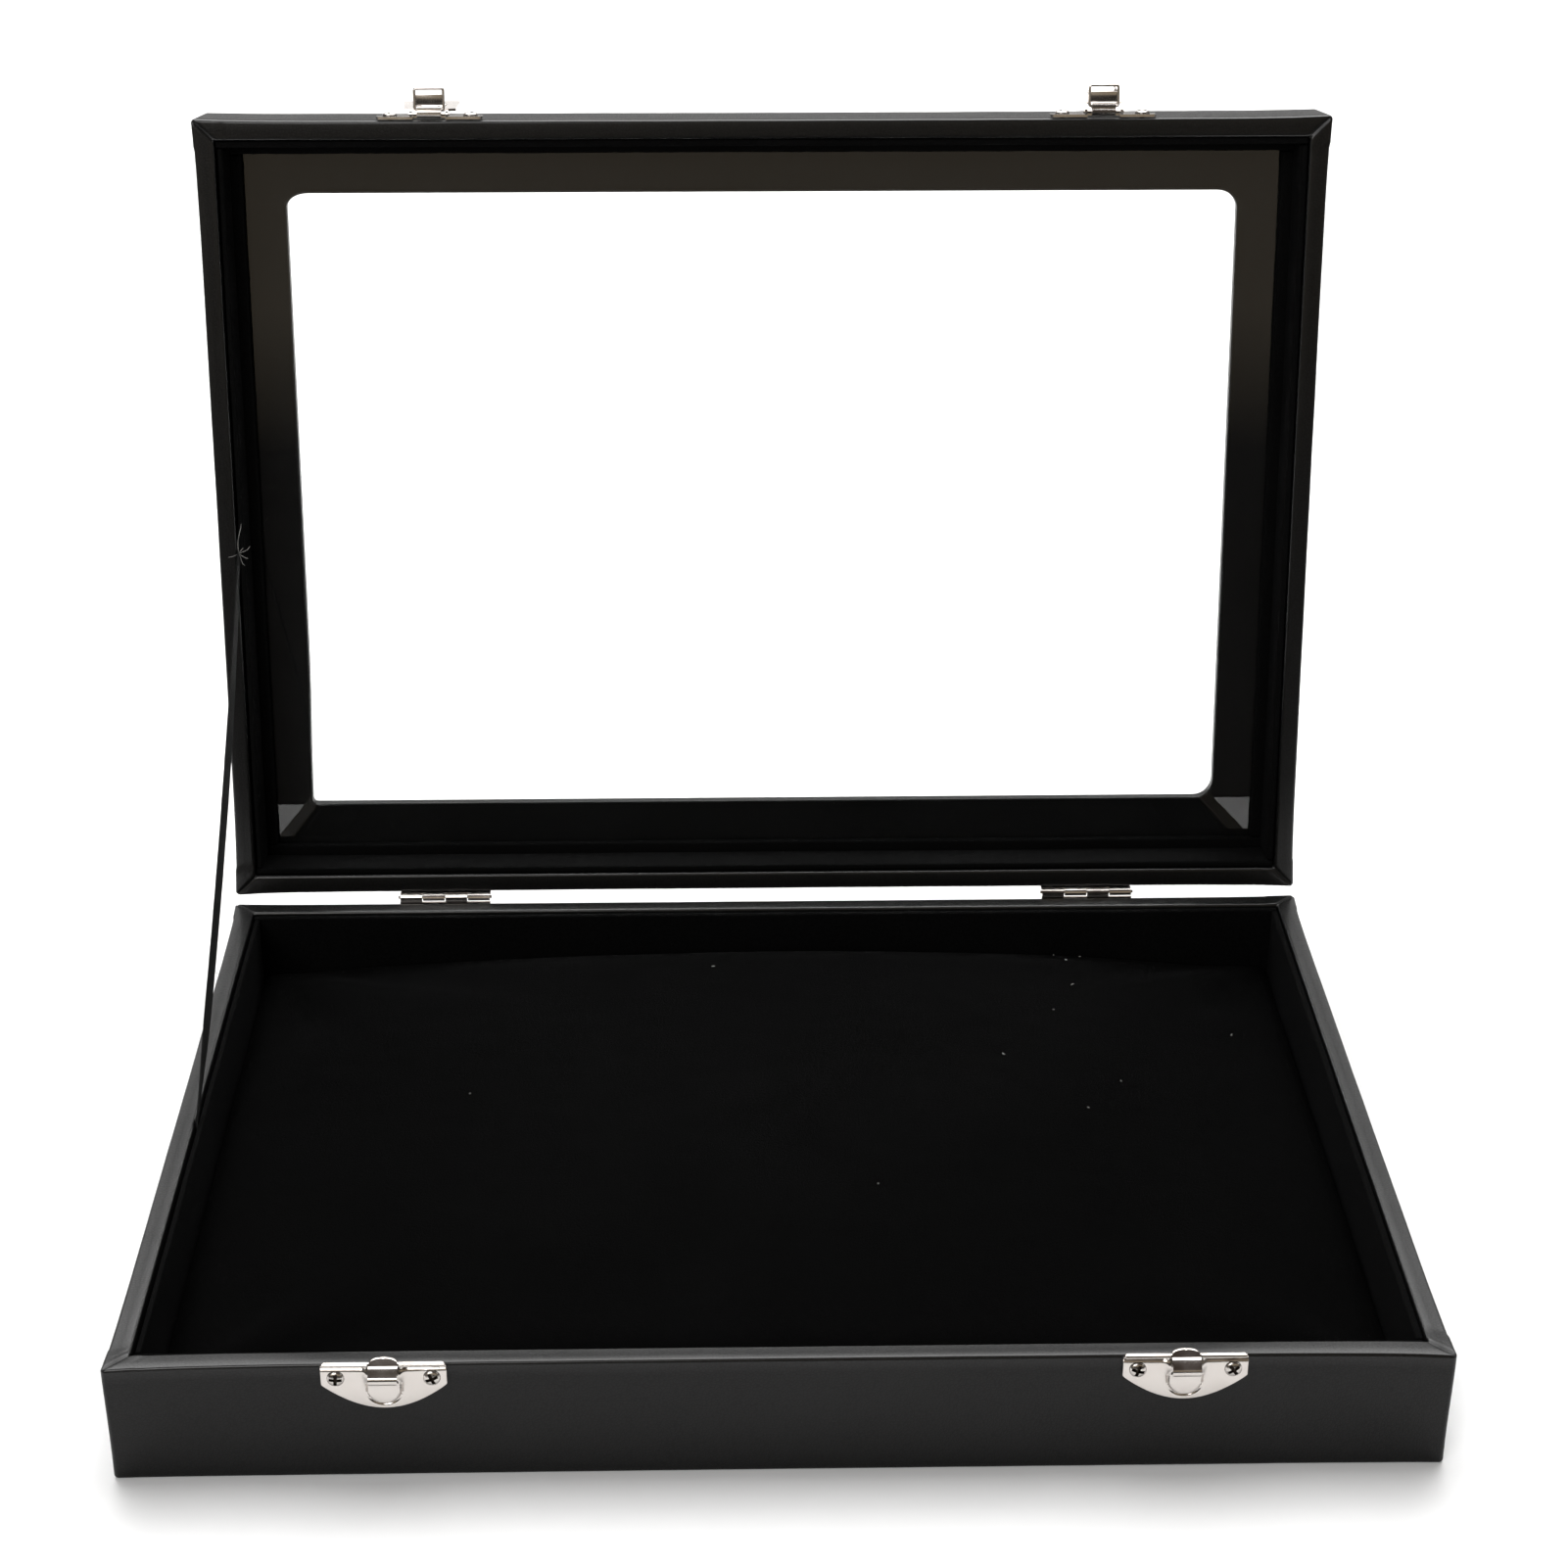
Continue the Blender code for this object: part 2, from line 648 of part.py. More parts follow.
def make_lid_plate(side, x, lid_pieces, lid):
    """The lid's half of a catch: a plate with a notch and two ears for the lever's pin."""
    bottom = LID_BOTTOM + LID_PLATE_INSET
    outer = FRONT - GAP - PLATE
    outline = catch_outline(x, bottom, 1)
    plate = flat_piece(f"catch_{side}_lid_plate", outline, outer, PLATE, NICKEL, lid)
    notch = box(
        f"catch_{side}_notch",
        (x - NOTCH_HALF_WIDTH, outer - 0.001, bottom - 0.001),
        (x + NOTCH_HALF_WIDTH, FRONT + 0.001, bottom + NOTCH_DEPTH),
        None,
        lid,
    )
    combine(plate, notch, "DIFFERENCE")
    pin_y, pin_z = FRONT - LEVER_PIN_OUT, LID_BOTTOM + LEVER_PIN_UP
    for hand, sign in SIDES:
        near = x + sign * (NOTCH_HALF_WIDTH + 0.0001)
        far = near + sign * EAR
        profile = arc((pin_y, pin_z), EAR_RADIUS, 90, 270, 8)
        profile += [(outer + PLATE / 2, pin_z - EAR_RADIUS + 0.0004)]
        profile += [(outer + PLATE / 2, pin_z + EAR_RADIUS + 0.0012)]
        ear = flat_piece(
            f"catch_{side}_ear_{hand}", profile, min(near, far), EAR, None, lid, along="X"
        )
        combine(plate, ear, "UNION")
    bore = rod(
        f"catch_{side}_ear_bore",
        (x, pin_y, pin_z),
        "X",
        LEVER_PIN_RADIUS + RUNNING,
        0.02,
        None,
        lid,
        segments=12,
    )
    combine(plate, bore, "DIFFERENCE")
    rod(
        f"catch_{side}_pin",
        (x, pin_y, pin_z),
        "X",
        LEVER_PIN_RADIUS,
        2 * (NOTCH_HALF_WIDTH + EAR + 0.0005),
        NICKEL,
        lid,
        segments=12,
    )
    places = [
        (x + s * CATCH_SCREW_SPACING / 2, outer - GAP, bottom + CATCH_SCREW_DROP) for s in (-1, 1)
    ]
    for number, place in enumerate(places, 1):
        screw(f"catch_{side}_lid_screw_{number}", place, -1, lid)
    drilled = [plate, lid_pieces[0], lid_pieces[1]["front"]]
    screw_holes(f"catch_{side}_lid", places, -1, drilled, lid)


def make_lever(side, x, lever):
    """The lever: a knuckle on the pin, a neck that holds the loop and a wide embossed blade."""
    pin_y, pin_z = FRONT - LEVER_PIN_OUT, LID_BOTTOM + LEVER_PIN_UP
    loop_y, loop_z = FRONT - LOOP_PIVOT_OUT, pin_z + LOOP_PIVOT_UP
    neck, wide = LEVER_HALF_NECK, LEVER_HALF_WIDTH
    end = pin_z + LEVER_LENGTH
    shoulder = pin_z + LEVER_SHOULDER
    corner = 0.0012
    half = [(neck, pin_z), (neck, shoulder), (wide - 0.0008, shoulder + 0.0006)]
    half += arc((wide - corner, end - corner), corner, 0, 90, 4)
    outline = [(x + a, b) for a, b in half] + [(x - a, b) for a, b in reversed(half)]
    outer = FRONT - LEVER_OUT - LEVER_THICKNESS
    name = f"catch_{side}_lever"
    blade = flat_piece(name, outline, outer, LEVER_THICKNESS, NICKEL, lever)
    knuckle = rod(
        name + "_knuckle", (x, pin_y, pin_z), "X", EAR_RADIUS, 2 * neck - 0.0001, None, lever
    )
    seat = rod(
        name + "_seat", (x, loop_y, loop_z), "X", LOOP_WIRE + 0.0005, 2 * neck - 0.0002, None, lever
    )
    combine(blade, knuckle, "UNION")
    combine(blade, seat, "UNION")
    shape = bmesh.new()
    boss_size = Matrix.Diagonal((BOSS_RADIUS, 0.0016, 0.0034, 1))
    boss_place = Matrix.Translation((x, outer + LEVER_THICKNESS / 2, pin_z + 0.0084))
    bmesh.ops.create_uvsphere(
        shape, u_segments=16, v_segments=8, radius=1, matrix=boss_place @ boss_size
    )
    boss = add(name + "_boss", mesh_of(shape, name + "_boss"), None, lever)
    combine(blade, boss, "UNION")
    for tag, (y, z), radius in (
        ("pin", (pin_y, pin_z), LEVER_PIN_RADIUS + RUNNING),
        ("loop", (loop_y, loop_z), LOOP_WIRE + RUNNING),
    ):
        bore = rod(f"{name}_{tag}_bore", (x, y, z), "X", radius, 0.01, None, lever, segments=12)
        combine(blade, bore, "DIFFERENCE")
    flush = box(
        name + "_flush",
        (x - wide, FRONT - LEVER_OUT, pin_z + EAR_RADIUS + 0.0012),
        (x + wide, FRONT + 0.004, end + 0.001),
        None,
        lever,
    )
    combine(blade, flush, "DIFFERENCE")


def make_loop(side, x, loop):
    """The square wire loop, drawn hanging straight down from its pivot to the hook."""
    pivot_z = LID_BOTTOM + LEVER_PIN_UP + LOOP_PIVOT_UP
    length = pivot_z - BAR_Z
    half, corner = LOOP_HALF_WIDTH, LOOP_CORNER
    outline = []
    for sign_x, up, start in ((1, 0, 0), (-1, 0, 90), (-1, -length, 180), (1, -length, 270)):
        inward = -corner if up == 0 else corner
        outline += arc((sign_x * (half - corner), up + inward), corner, start, start + 90, 3)
    curve = bpy.data.curves.new(f"catch_{side}_loop", "CURVE")
    curve.dimensions = "3D"
    curve.bevel_depth = LOOP_WIRE
    curve.bevel_resolution = 2
    spline = curve.splines.new("POLY")
    spline.points.add(len(outline) - 1)
    for point, (across, up) in zip(spline.points, outline):
        point.co = (across, 0, up, 1)
    spline.use_cyclic_u = True
    curve.materials.append(NICKEL)
    piece = bpy.data.objects.new(f"catch_{side}_loop", curve)
    parts.objects.link(piece)
    piece.location = (x, FRONT - LOOP_PIVOT_OUT, pivot_z)
    ride(piece, loop)


def make_catches(base, lid_pieces, lid):
    for side, x in CATCH_X.items():
        lift = LEVER_LIFT[side]
        make_strike(side, x, base)
        make_lid_plate(side, x, lid_pieces, lid)
        pin = (x, FRONT - LEVER_PIN_OUT, LID_BOTTOM + LEVER_PIN_UP)
        lever = pivot(f"catch_{side}_lever_axis", pin, lift, lid)
        make_lever(side, x, lever)
        loop_pin = (x, FRONT - LOOP_PIVOT_OUT, pin[2] + LOOP_PIVOT_UP)
        loop = pivot(f"catch_{side}_loop_axis", loop_pin, -math.pi / 2 - lift, lever)
        make_loop(side, x, loop)


def opened(y, z):
    """Where a point of the closed lid, given in Y and Z, is on the open lid."""
    dy, dz = y - HINGE_AXIS.y, z - HINGE_AXIS.z
    cos, sin = math.cos(OPEN_ANGLE), math.sin(OPEN_ANGLE)
    return HINGE_AXIS.y + cos * dy + sin * dz, HINGE_AXIS.z - sin * dy + cos * dz


def strip_outline(path, width):
    """The outline of a strip that follows a path in the plane, mitred at its bends."""
    path = [Vector(point) for point in path]
    sides = []
    for index, point in enumerate(path):
        before = (point - path[index - 1]).normalized() if index else None
        after = (path[index + 1] - point).normalized() if index < len(path) - 1 else None
        if before is None or after is None:
            along = after or before
            stretch = 1
        else:
            along = (before + after).normalized()
            stretch = 1 / along.dot(after)
        across = Vector((-along.y, along.x)) * width / 2 * stretch
        sides.append((point + across, point - across))
    return [tuple(a) for a, _ in sides] + [tuple(b) for _, b in reversed(sides)]


def make_stay(base_lining, lid_lining, lid):
    """The taut ribbon, tucked behind the left linings of the base and the lid."""
    clear = 0.0008
    tuck_bottom = BASE_HEIGHT - LINING_DROP - RIBBON_TUCK
    path = [
        (RIBBON_BASE_Y, tuck_bottom),
        (RIBBON_BASE_Y, BASE_HEIGHT + 0.0006),
        opened(RIBBON_LID_Y, LID_BOTTOM - 0.0006),
        opened(RIBBON_LID_Y, LID_BOTTOM + LINING_DROP + RIBBON_TUCK),
    ]
    low = -WIDTH / 2 + LINING_IN + 0.0001
    outline = strip_outline(path, RIBBON_WIDTH)
    flat_piece("stay_ribbon", outline, low, RIBBON, RIBBON_CLOTH, along="X")
    half = RIBBON_WIDTH / 2 + clear
    pocket = (low - 0.001, low + RIBBON + GAP)
    base_pocket = box(
        "base_pocket",
        (pocket[0], RIBBON_BASE_Y - half, tuck_bottom - GAP),
        (pocket[1], RIBBON_BASE_Y + half, BASE_HEIGHT),
        None,
    )
    combine(base_lining, base_pocket, "DIFFERENCE")
    lid_pocket = box(
        "lid_pocket",
        (pocket[0], RIBBON_LID_Y - half, LID_BOTTOM),
        (pocket[1], RIBBON_LID_Y + half, LID_BOTTOM + LINING_DROP + RIBBON_TUCK + GAP),
        None,
        lid,
    )
    combine(lid_lining, lid_pocket, "DIFFERENCE")


lid_axis = pivot("lid_axis", HINGE_AXIS, -OPEN_ANGLE)
base_cover, base_wood, base_lining, inside_bottom = make_base()
make_pad(inside_bottom)
lid_cover, lid_wood, lid_lining = make_lid(lid_axis)
make_hinges((base_cover, base_wood), (lid_cover, lid_wood), lid_axis)
make_catches((base_cover, base_wood), (lid_cover, lid_wood), lid_axis)
make_stay(base_lining["left"], lid_lining["left"], lid_axis)
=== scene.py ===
import math

import bmesh
import bpy
from mathutils import Matrix, Vector, noise


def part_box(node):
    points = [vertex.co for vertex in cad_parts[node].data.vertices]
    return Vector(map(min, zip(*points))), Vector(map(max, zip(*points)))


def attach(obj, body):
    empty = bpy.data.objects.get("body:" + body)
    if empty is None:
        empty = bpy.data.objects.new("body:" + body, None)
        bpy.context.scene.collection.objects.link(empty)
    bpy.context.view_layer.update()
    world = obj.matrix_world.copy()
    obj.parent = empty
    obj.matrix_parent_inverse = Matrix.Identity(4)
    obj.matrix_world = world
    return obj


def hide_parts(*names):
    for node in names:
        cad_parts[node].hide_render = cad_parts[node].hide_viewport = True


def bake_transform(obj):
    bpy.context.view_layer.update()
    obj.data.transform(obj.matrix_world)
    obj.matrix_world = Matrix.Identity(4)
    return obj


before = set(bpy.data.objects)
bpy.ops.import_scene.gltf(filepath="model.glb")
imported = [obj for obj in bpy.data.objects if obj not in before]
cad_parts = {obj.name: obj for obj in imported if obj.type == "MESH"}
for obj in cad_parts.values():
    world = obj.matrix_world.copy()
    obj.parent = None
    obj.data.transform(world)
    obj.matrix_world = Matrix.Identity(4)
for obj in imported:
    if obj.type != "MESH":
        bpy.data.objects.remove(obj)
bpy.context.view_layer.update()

# The case's own sizes, in metres. Lid pieces are made shut and then swung open.
case = {
    "width": 0.355,
    "depth": 0.255,
    "baseHeight": 0.0358,
    "lidHeight": 0.025,
    "rimGap": 0.003,
    "openAngle": 98.5,
    "hingeBehind": 0.0013,
    "liningOuter": 0.0063,
    "liningInner": 0.0083,
}
halfWidth = case["width"] / 2
halfDepth = case["depth"] / 2
baseTop = case["baseHeight"]
lidRim = baseTop + case["rimGap"]
lidTop = lidRim + case["lidHeight"]
frontFace = -halfDepth
hingeAxis = Vector((0, halfDepth + case["hingeBehind"], baseTop + case["rimGap"] / 2))
lidTurn = (
    Matrix.Translation(hingeAxis)
    @ Matrix.Rotation(-math.radians(case["openAngle"]), 4, "X")
    @ Matrix.Translation(-hingeAxis)
)
nothing = Vector((0, 0, 0))


# ---- small helpers
def smoothStep(low, high, value):
    t = min(1, max(0, (value - low) / (high - low)))
    return t * t * (3 - 2 * t)


def bell(value, width):
    return math.exp(-((value / width) ** 2))


def addObject(name, data):
    made = bpy.data.objects.new(name, data)
    bpy.context.scene.collection.objects.link(made)
    return made


def placeMesh(name, shape, material, lid=False, smooth=True, sharpAngle=None):
    mesh = bpy.data.meshes.new(name)
    if isinstance(shape, bmesh.types.BMesh):
        shape.to_mesh(mesh)
        shape.free()
    else:
        mesh.from_pydata(*shape)
    if lid:
        mesh.transform(lidTurn)
    if smooth:
        mesh.shade_smooth()
    if sharpAngle:
        mesh.set_sharp_from_angle(angle=math.radians(sharpAngle))
    mesh.materials.append(material)
    return addObject(name, mesh)


def evaluatedMesh(source, name):
    graph = bpy.context.evaluated_depsgraph_get()
    mesh = bpy.data.meshes.new_from_object(source.evaluated_get(graph))
    mesh.name = name
    return mesh


def discard(piece):
    bpy.data.objects.remove(piece, do_unlink=True)


# A closed outline as a curve with a bevel, turned into a mesh.
def outlineMesh(name, points, **settings):
    curve = bpy.data.curves.new(name, "CURVE")
    for key, value in settings.items():
        setattr(curve, key, value)
    spline = curve.splines.new("POLY")
    spline.points.add(len(points) - 1)
    for point, place in zip(spline.points, points):
        point.co = (*place, 1)
    spline.use_cyclic_u = True
    holder = addObject(name, curve)
    mesh = evaluatedMesh(holder, name)
    discard(holder)
    return mesh


# Joins rings of vertices into a tube: capped at its ends, or closed round on itself.
def joinRings(shape, rings, closed=False):
    total = len(rings[0])
    for a, b in zip(rings, rings[1:] + rings[:1] if closed else rings[1:]):
        for j in range(total):
            k = (j + 1) % total
            shape.faces.new((a[j], a[k], b[k], b[j]))
    if not closed:
        shape.faces.new(rings[0][::-1])
        shape.faces.new(rings[-1])


def sliceAt(shape, axis, place):
    normal = Vector((1, 0, 0)) if axis == 0 else Vector((0, 1, 0))
    geom = shape.verts[:] + shape.edges[:] + shape.faces[:]
    bmesh.ops.bisect_plane(shape, geom=geom, plane_co=normal * place, plane_no=normal)


def roundEdges(shape, verts, offset, segments):
    edges = list({e for v in verts for e in v.link_edges})
    bmesh.ops.bevel(
        shape, geom=edges, offset=offset, segments=segments, profile=0.5, affect="EDGES"
    )


def faceOutward(shape):
    bmesh.ops.recalc_face_normals(shape, faces=shape.faces)


# The direction of a path at one of its points.
def pathDirection(points, i):
    return (points[min(i + 1, len(points) - 1)] - points[max(i - 1, 0)]).normalized()


# ---- shader helpers
def setSockets(node, values):
    for key, value in values.items():
        node.inputs[key].default_value = value


def addNode(tree, kind, inputs=None, **settings):
    node = tree.nodes.new(kind)
    for key, value in settings.items():
        setattr(node, key, value)
    setSockets(node, inputs or {})
    return node


def join(tree, source, output, target, name):
    tree.links.new(source.outputs[output], target.inputs[name])


# Adds a node with another node's output plugged into one of its sockets.
def feed(tree, source, output, kind, socket, inputs=None, **settings):
    node = addNode(tree, kind, inputs, **settings)
    join(tree, source, output, node, socket)
    return node


def addNoise(tree, source, output, inputs):
    return feed(tree, source, output, "ShaderNodeTexNoise", "Vector", inputs)


def spanValues(tree, source, output, low, high, fromLow=0.0, fromHigh=1.0):
    limits = {"From Min": fromLow, "From Max": fromHigh, "To Min": low, "To Max": high}
    return feed(tree, source, output, "ShaderNodeMapRange", "Value", limits)


def mixColours(tree, source, output, first, second):
    ends = {"A": (*first, 1), "B": (*second, 1)}
    return feed(tree, source, output, "ShaderNodeMix", "Factor", ends, data_type="RGBA")


# Lays a colour over what is there, where a mask shows it.
def layColour(tree, under, output, mask, maskOutput, colour):
    mix = feed(
        tree, mask, maskOutput, "ShaderNodeMix", "Factor", {"B": (*colour, 1)}, data_type="RGBA"
    )
    join(tree, under, output, mix, "A")
    return mix


def raiseBump(tree, shader, source, output, strength, distance):
    values = {"Strength": strength, "Distance": distance}
    bump = feed(tree, source, output, "ShaderNodeBump", "Height", values)
    join(tree, bump, "Normal", shader, "Normal")


def spanRoughness(tree, shader, source, output, low, high, *limits):
    span = spanValues(tree, source, output, low, high, *limits)
    join(tree, span, "Result", shader, "Roughness")


def newGroup(name, inputs, outputs):
    tree = bpy.data.node_groups.new(name, "ShaderNodeTree")
    for label, value in inputs:
        kind = "NodeSocketVector" if value is None else "NodeSocketFloat"
        socket = tree.interface.new_socket(label, in_out="INPUT", socket_type=kind)
        if value is not None:
            socket.default_value = value
    for label in outputs:
        tree.interface.new_socket(label, in_out="OUTPUT", socket_type="NodeSocketFloat")
    return tree, tree.nodes.new("NodeGroupInput"), tree.nodes.new("NodeGroupOutput")


def newMaterial(name):
    material = bpy.data.materials.new(name)
    material.use_nodes = True
    tree = material.node_tree
    shader = tree.nodes["Principled BSDF"]
    place = tree.nodes.new("ShaderNodeTexCoord")
    return material, tree, shader, place


def useGroup(tree, group, place, values):
    node = tree.nodes.new("ShaderNodeGroup")
    node.node_tree = group
    join(tree, place, "Object", node, "Vector")
    setSockets(node, values)
    return node


# ---- camera and light
view = {
    "place": (-0.0137, -0.7866, 0.5301),
    "yaw": 1.223,
    "pitch": 26.244,
    "roll": 0.103,
    "lens": 70.81,
}


def makeCamera():
    yaw, pitch, roll = (math.radians(view[key]) for key in ("yaw", "pitch", "roll"))
    forward = Vector(
        (math.sin(yaw) * math.cos(pitch), math.cos(yaw) * math.cos(pitch), -math.sin(pitch))
    )
    right = Vector((math.cos(yaw), -math.sin(yaw), 0))
    up = right.cross(forward)
    rolledRight = right * math.cos(roll) + up * math.sin(roll)
    rolledUp = up * math.cos(roll) - right * math.sin(roll)
    lens = bpy.data.cameras.new("studioCamera")
    lens.lens = view["lens"]
    lens.sensor_width = 36
    lens.clip_start = 0.01
    lens.clip_end = 60
    camera = addObject("studioCamera", lens)
    turn = Matrix((rolledRight, rolledUp, -forward)).transposed().to_4x4()
    camera.matrix_world = Matrix.Translation(view["place"]) @ turn
    bpy.context.scene.camera = camera


studio = {
    "surround": (0.30, 0.285, 0.27),
    "surroundStrength": 0.42,
    "lights": [
        # name, place, looks at, size, watts
        ("overheadSoftbox", (0.0, 0.90, 1.8), (0, 0.25, 0), 2.0, 60),
        ("frontFill", (-0.9, -1.9, 1.5), (0, 0.1, 0.05), 1.4, 30),
        ("backFloorWash", (0.0, 4.0, 2.8), (0, 2.6, 0), 5.5, 118),
        ("rightKicker", (1.7, -0.3, 1.0), (0, 0.05, 0.1), 0.7, 2.5),
    ],
    "floorSize": 7,
    # a dark room seen only in glossy reflections, from just in front of the case
    "roomNear": -0.205,
    "roomFar": -2.8,
    "roomHalf": 3,
    "roomFloor": 0.0005,
    "roomHeight": 2.3,
    "ceilingBack": -0.35,
    "brownBand": (0.02, 0.20),  # heights over which dark turns to brown
    "ceilingBand": (0.9, 2.0),  # and brown to the ceiling's colour
    "roomCeiling": (0.050, 0.036, 0.028),
    "roomDark": (0.038, 0.035, 0.032),
    "roomBrown": (0.35, 0.295, 0.22),
}


def makeLight():
    world = bpy.data.worlds.new("studioSurround")
    bpy.context.scene.world = world
    world.use_nodes = True
    back = world.node_tree.nodes["Background"]
    setSockets(back, {"Color": (*studio["surround"], 1), "Strength": studio["surroundStrength"]})
    for name, place, target, size, watts in studio["lights"]:
        light = bpy.data.lights.new(name, "AREA")
        light.shape = "SQUARE"
        light.size = size
        light.energy = watts
        lamp = addObject(name, light)
        lamp.location = place
        aim = Vector(target) - Vector(place)
        lamp.rotation_euler = aim.to_track_quat("-Z", "Y").to_euler()


def makePaintedReflectionRoom():
    # painted reflection: an emitting backdrop, hidden from the camera, from diffuse light, from
    # light through the glass and from shadows, so that only glossy reflections show its dark room,
    # brown band and dim ceiling
    material, tree, _, place = newMaterial("darkRoom")
    split = feed(tree, place, "Object", "ShaderNodeSeparateXYZ", "Vector")
    height = spanValues(tree, split, "Z", 0, 1, *studio["brownBand"])
    shade = mixColours(tree, height, "Result", studio["roomDark"], studio["roomBrown"])
    high = spanValues(tree, split, "Z", 0, 1, *studio["ceilingBand"])
    upper = layColour(tree, shade, "Result", high, "Result", studio["roomCeiling"])
    glow = feed(tree, upper, "Result", "ShaderNodeEmission", "Color")
    join(tree, glow, "Emission", tree.nodes["Material Output"], "Surface")
    near, far, low, top = (studio[key] for key in ("roomNear", "roomFar", "roomFloor", "roomHeight"))
    section = ((near, low), (far, low), (far, top), (studio["ceilingBack"], top))
    verts = [(x, y, z) for y, z in section for x in (-studio["roomHalf"], studio["roomHalf"])]
    faces = [(0, 1, 3, 2), (2, 3, 5, 4), (4, 5, 7, 6)]
    room = placeMesh("darkRoom", (verts, [], faces), material, smooth=False)
    room.visible_camera = False
    room.visible_diffuse = False
    room.visible_transmission = False
    room.visible_shadow = False


# ---- shared shader groups
def makePebbleGrain():
    tree, start, end = newGroup(
        "pebbleGrain",
        [("Vector", None), ("Pebbles", 1100.0), ("Wander", 0.0004)],
        ["Height", "Crease"],
    )
    drift = addNoise(tree, start, "Vector", {"Scale": 420.0, "Detail": 2.0})
    centre = {1: (0.5, 0.5, 0.5)}
    centred = feed(tree, drift, "Color", "ShaderNodeVectorMath", 0, centre, operation="SUBTRACT")
    scaled = feed(tree, centred, "Vector", "ShaderNodeVectorMath", 0, operation="SCALE")
    join(tree, start, "Wander", scaled, "Scale")
    moved = feed(tree, start, "Vector", "ShaderNodeVectorMath", 0, operation="ADD")
    join(tree, scaled, "Vector", moved, 1)
    cells = feed(
        tree, moved, "Vector", "ShaderNodeTexVoronoi", "Vector", feature="DISTANCE_TO_EDGE"
    )
    join(tree, start, "Pebbles", cells, "Scale")
    crease = spanValues(tree, cells, "Distance", 0.0, 1.0, 0.0, 0.22)
    crease.interpolation_type = "SMOOTHSTEP"
    # the skin's fine grain is about three times as fine as its pebbles
    fineScale = feed(tree, start, "Pebbles", "ShaderNodeMath", 0, {1: 3.1}, operation="MULTIPLY")
    fine = addNoise(tree, moved, "Vector", {"Detail": 3.0, "Roughness": 0.6})
    join(tree, fineScale, "Value", fine, "Scale")
    height = feed(tree, fine, "Fac", "ShaderNodeMath", 0, {1: 0.35}, operation="MULTIPLY_ADD")
    join(tree, crease, "Result", height, 2)
    join(tree, height, "Value", end, "Height")
    join(tree, crease, "Result", end, "Crease")
    return tree


def makeDust():
    tree, start, end = newGroup(
        "dust", [("Vector", None), ("Density", 0.2), ("Speck Scale", 700.0)], ["Mask", "Patches"]
    )
    specks = feed(tree, start, "Vector", "ShaderNodeTexVoronoi", "Vector", feature="F1")
    join(tree, start, "Speck Scale", specks, "Scale")
    dots = spanValues(tree, specks, "Distance", 0.0, 1.0, 0.10, 0.04)
    patches = addNoise(tree, start, "Vector", {"Scale": 24.0, "Detail": 4.0, "Roughness": 0.6})
    spread = spanValues(tree, patches, "Fac", 0.0, 1.0, 0.42, 0.72)
    both = feed(tree, dots, "Result", "ShaderNodeMath", 0, operation="MULTIPLY")
    join(tree, spread, "Result", both, 1)
    amount = feed(tree, both, "Value", "ShaderNodeMath", 0, operation="MULTIPLY", use_clamp=True)
    join(tree, start, "Density", amount, 1)
    join(tree, amount, "Value", end, "Mask")
    join(tree, spread, "Result", end, "Patches")
    return tree


def makeScratches():
    tree, start, end = newGroup(
        "fineScratches", [("Vector", None), ("Scale", 500.0)], ["Height", "Haze"]
    )
    drawn = {"Scale": (0.12, 1.0, 1.0), "Rotation": (0.3, 0.2, 0.5)}
    stretch = feed(tree, start, "Vector", "ShaderNodeMapping", "Vector", drawn)
    lines = addNoise(tree, stretch, "Vector", {"Detail": 5.0, "Roughness": 0.7})
    join(tree, start, "Scale", lines, "Scale")
    haze = addNoise(tree, start, "Vector", {"Scale": 130.0, "Detail": 3.0})
    join(tree, lines, "Fac", end, "Height")
    join(tree, haze, "Fac", end, "Haze")
    return tree


grainGroup = makePebbleGrain()
dustGroup = makeDust()
scratchGroup = makeScratches()


# ---- materials
def makeLeatherette(name, look):
    material, tree, shader, place = newMaterial(name)
    grain = useGroup(
        tree, grainGroup, place, {"Pebbles": look["pebbles"], "Wander": look["wander"]}
    )
    dust = useGroup(
        tree, dustGroup, place, {"Density": look["dust"], "Speck Scale": look["speckScale"]}
    )
    base = mixColours(tree, grain, "Crease", look["creaseColour"], look["colour"])
    dusted = layColour(tree, base, "Result", dust, "Mask", look["dustColour"])
    join(tree, dusted, "Result", shader, "Base Color")
    worn = spanValues(tree, dust, "Patches", *look["roughness"])
    creased = feed(
        tree,
        grain,
        "Crease",
        "ShaderNodeMath",
        0,
        {1: look["creaseRoughness"]},
        operation="MULTIPLY_ADD",
        use_clamp=True,
    )
    join(tree, worn, "Result", creased, 2)
    join(tree, creased, "Value", shader, "Roughness")
    raiseBump(tree, shader, grain, "Height", look["bump"], look["depth"])
    setSockets(
        shader,
        {"Specular IOR Level": look["specular"], "Coat Roughness": look["coatRoughness"]},
    )
    # bends are polished: the attribute is 1 along them
    polish = addNode(tree, "ShaderNodeAttribute", attribute_name="polish")
    polished = min(1.0, look["coat"] * look["polish"])
    gloss = spanValues(tree, polish, "Fac", look["coat"], polished)
    join(tree, gloss, "Result", shader, "Coat Weight")
    return material


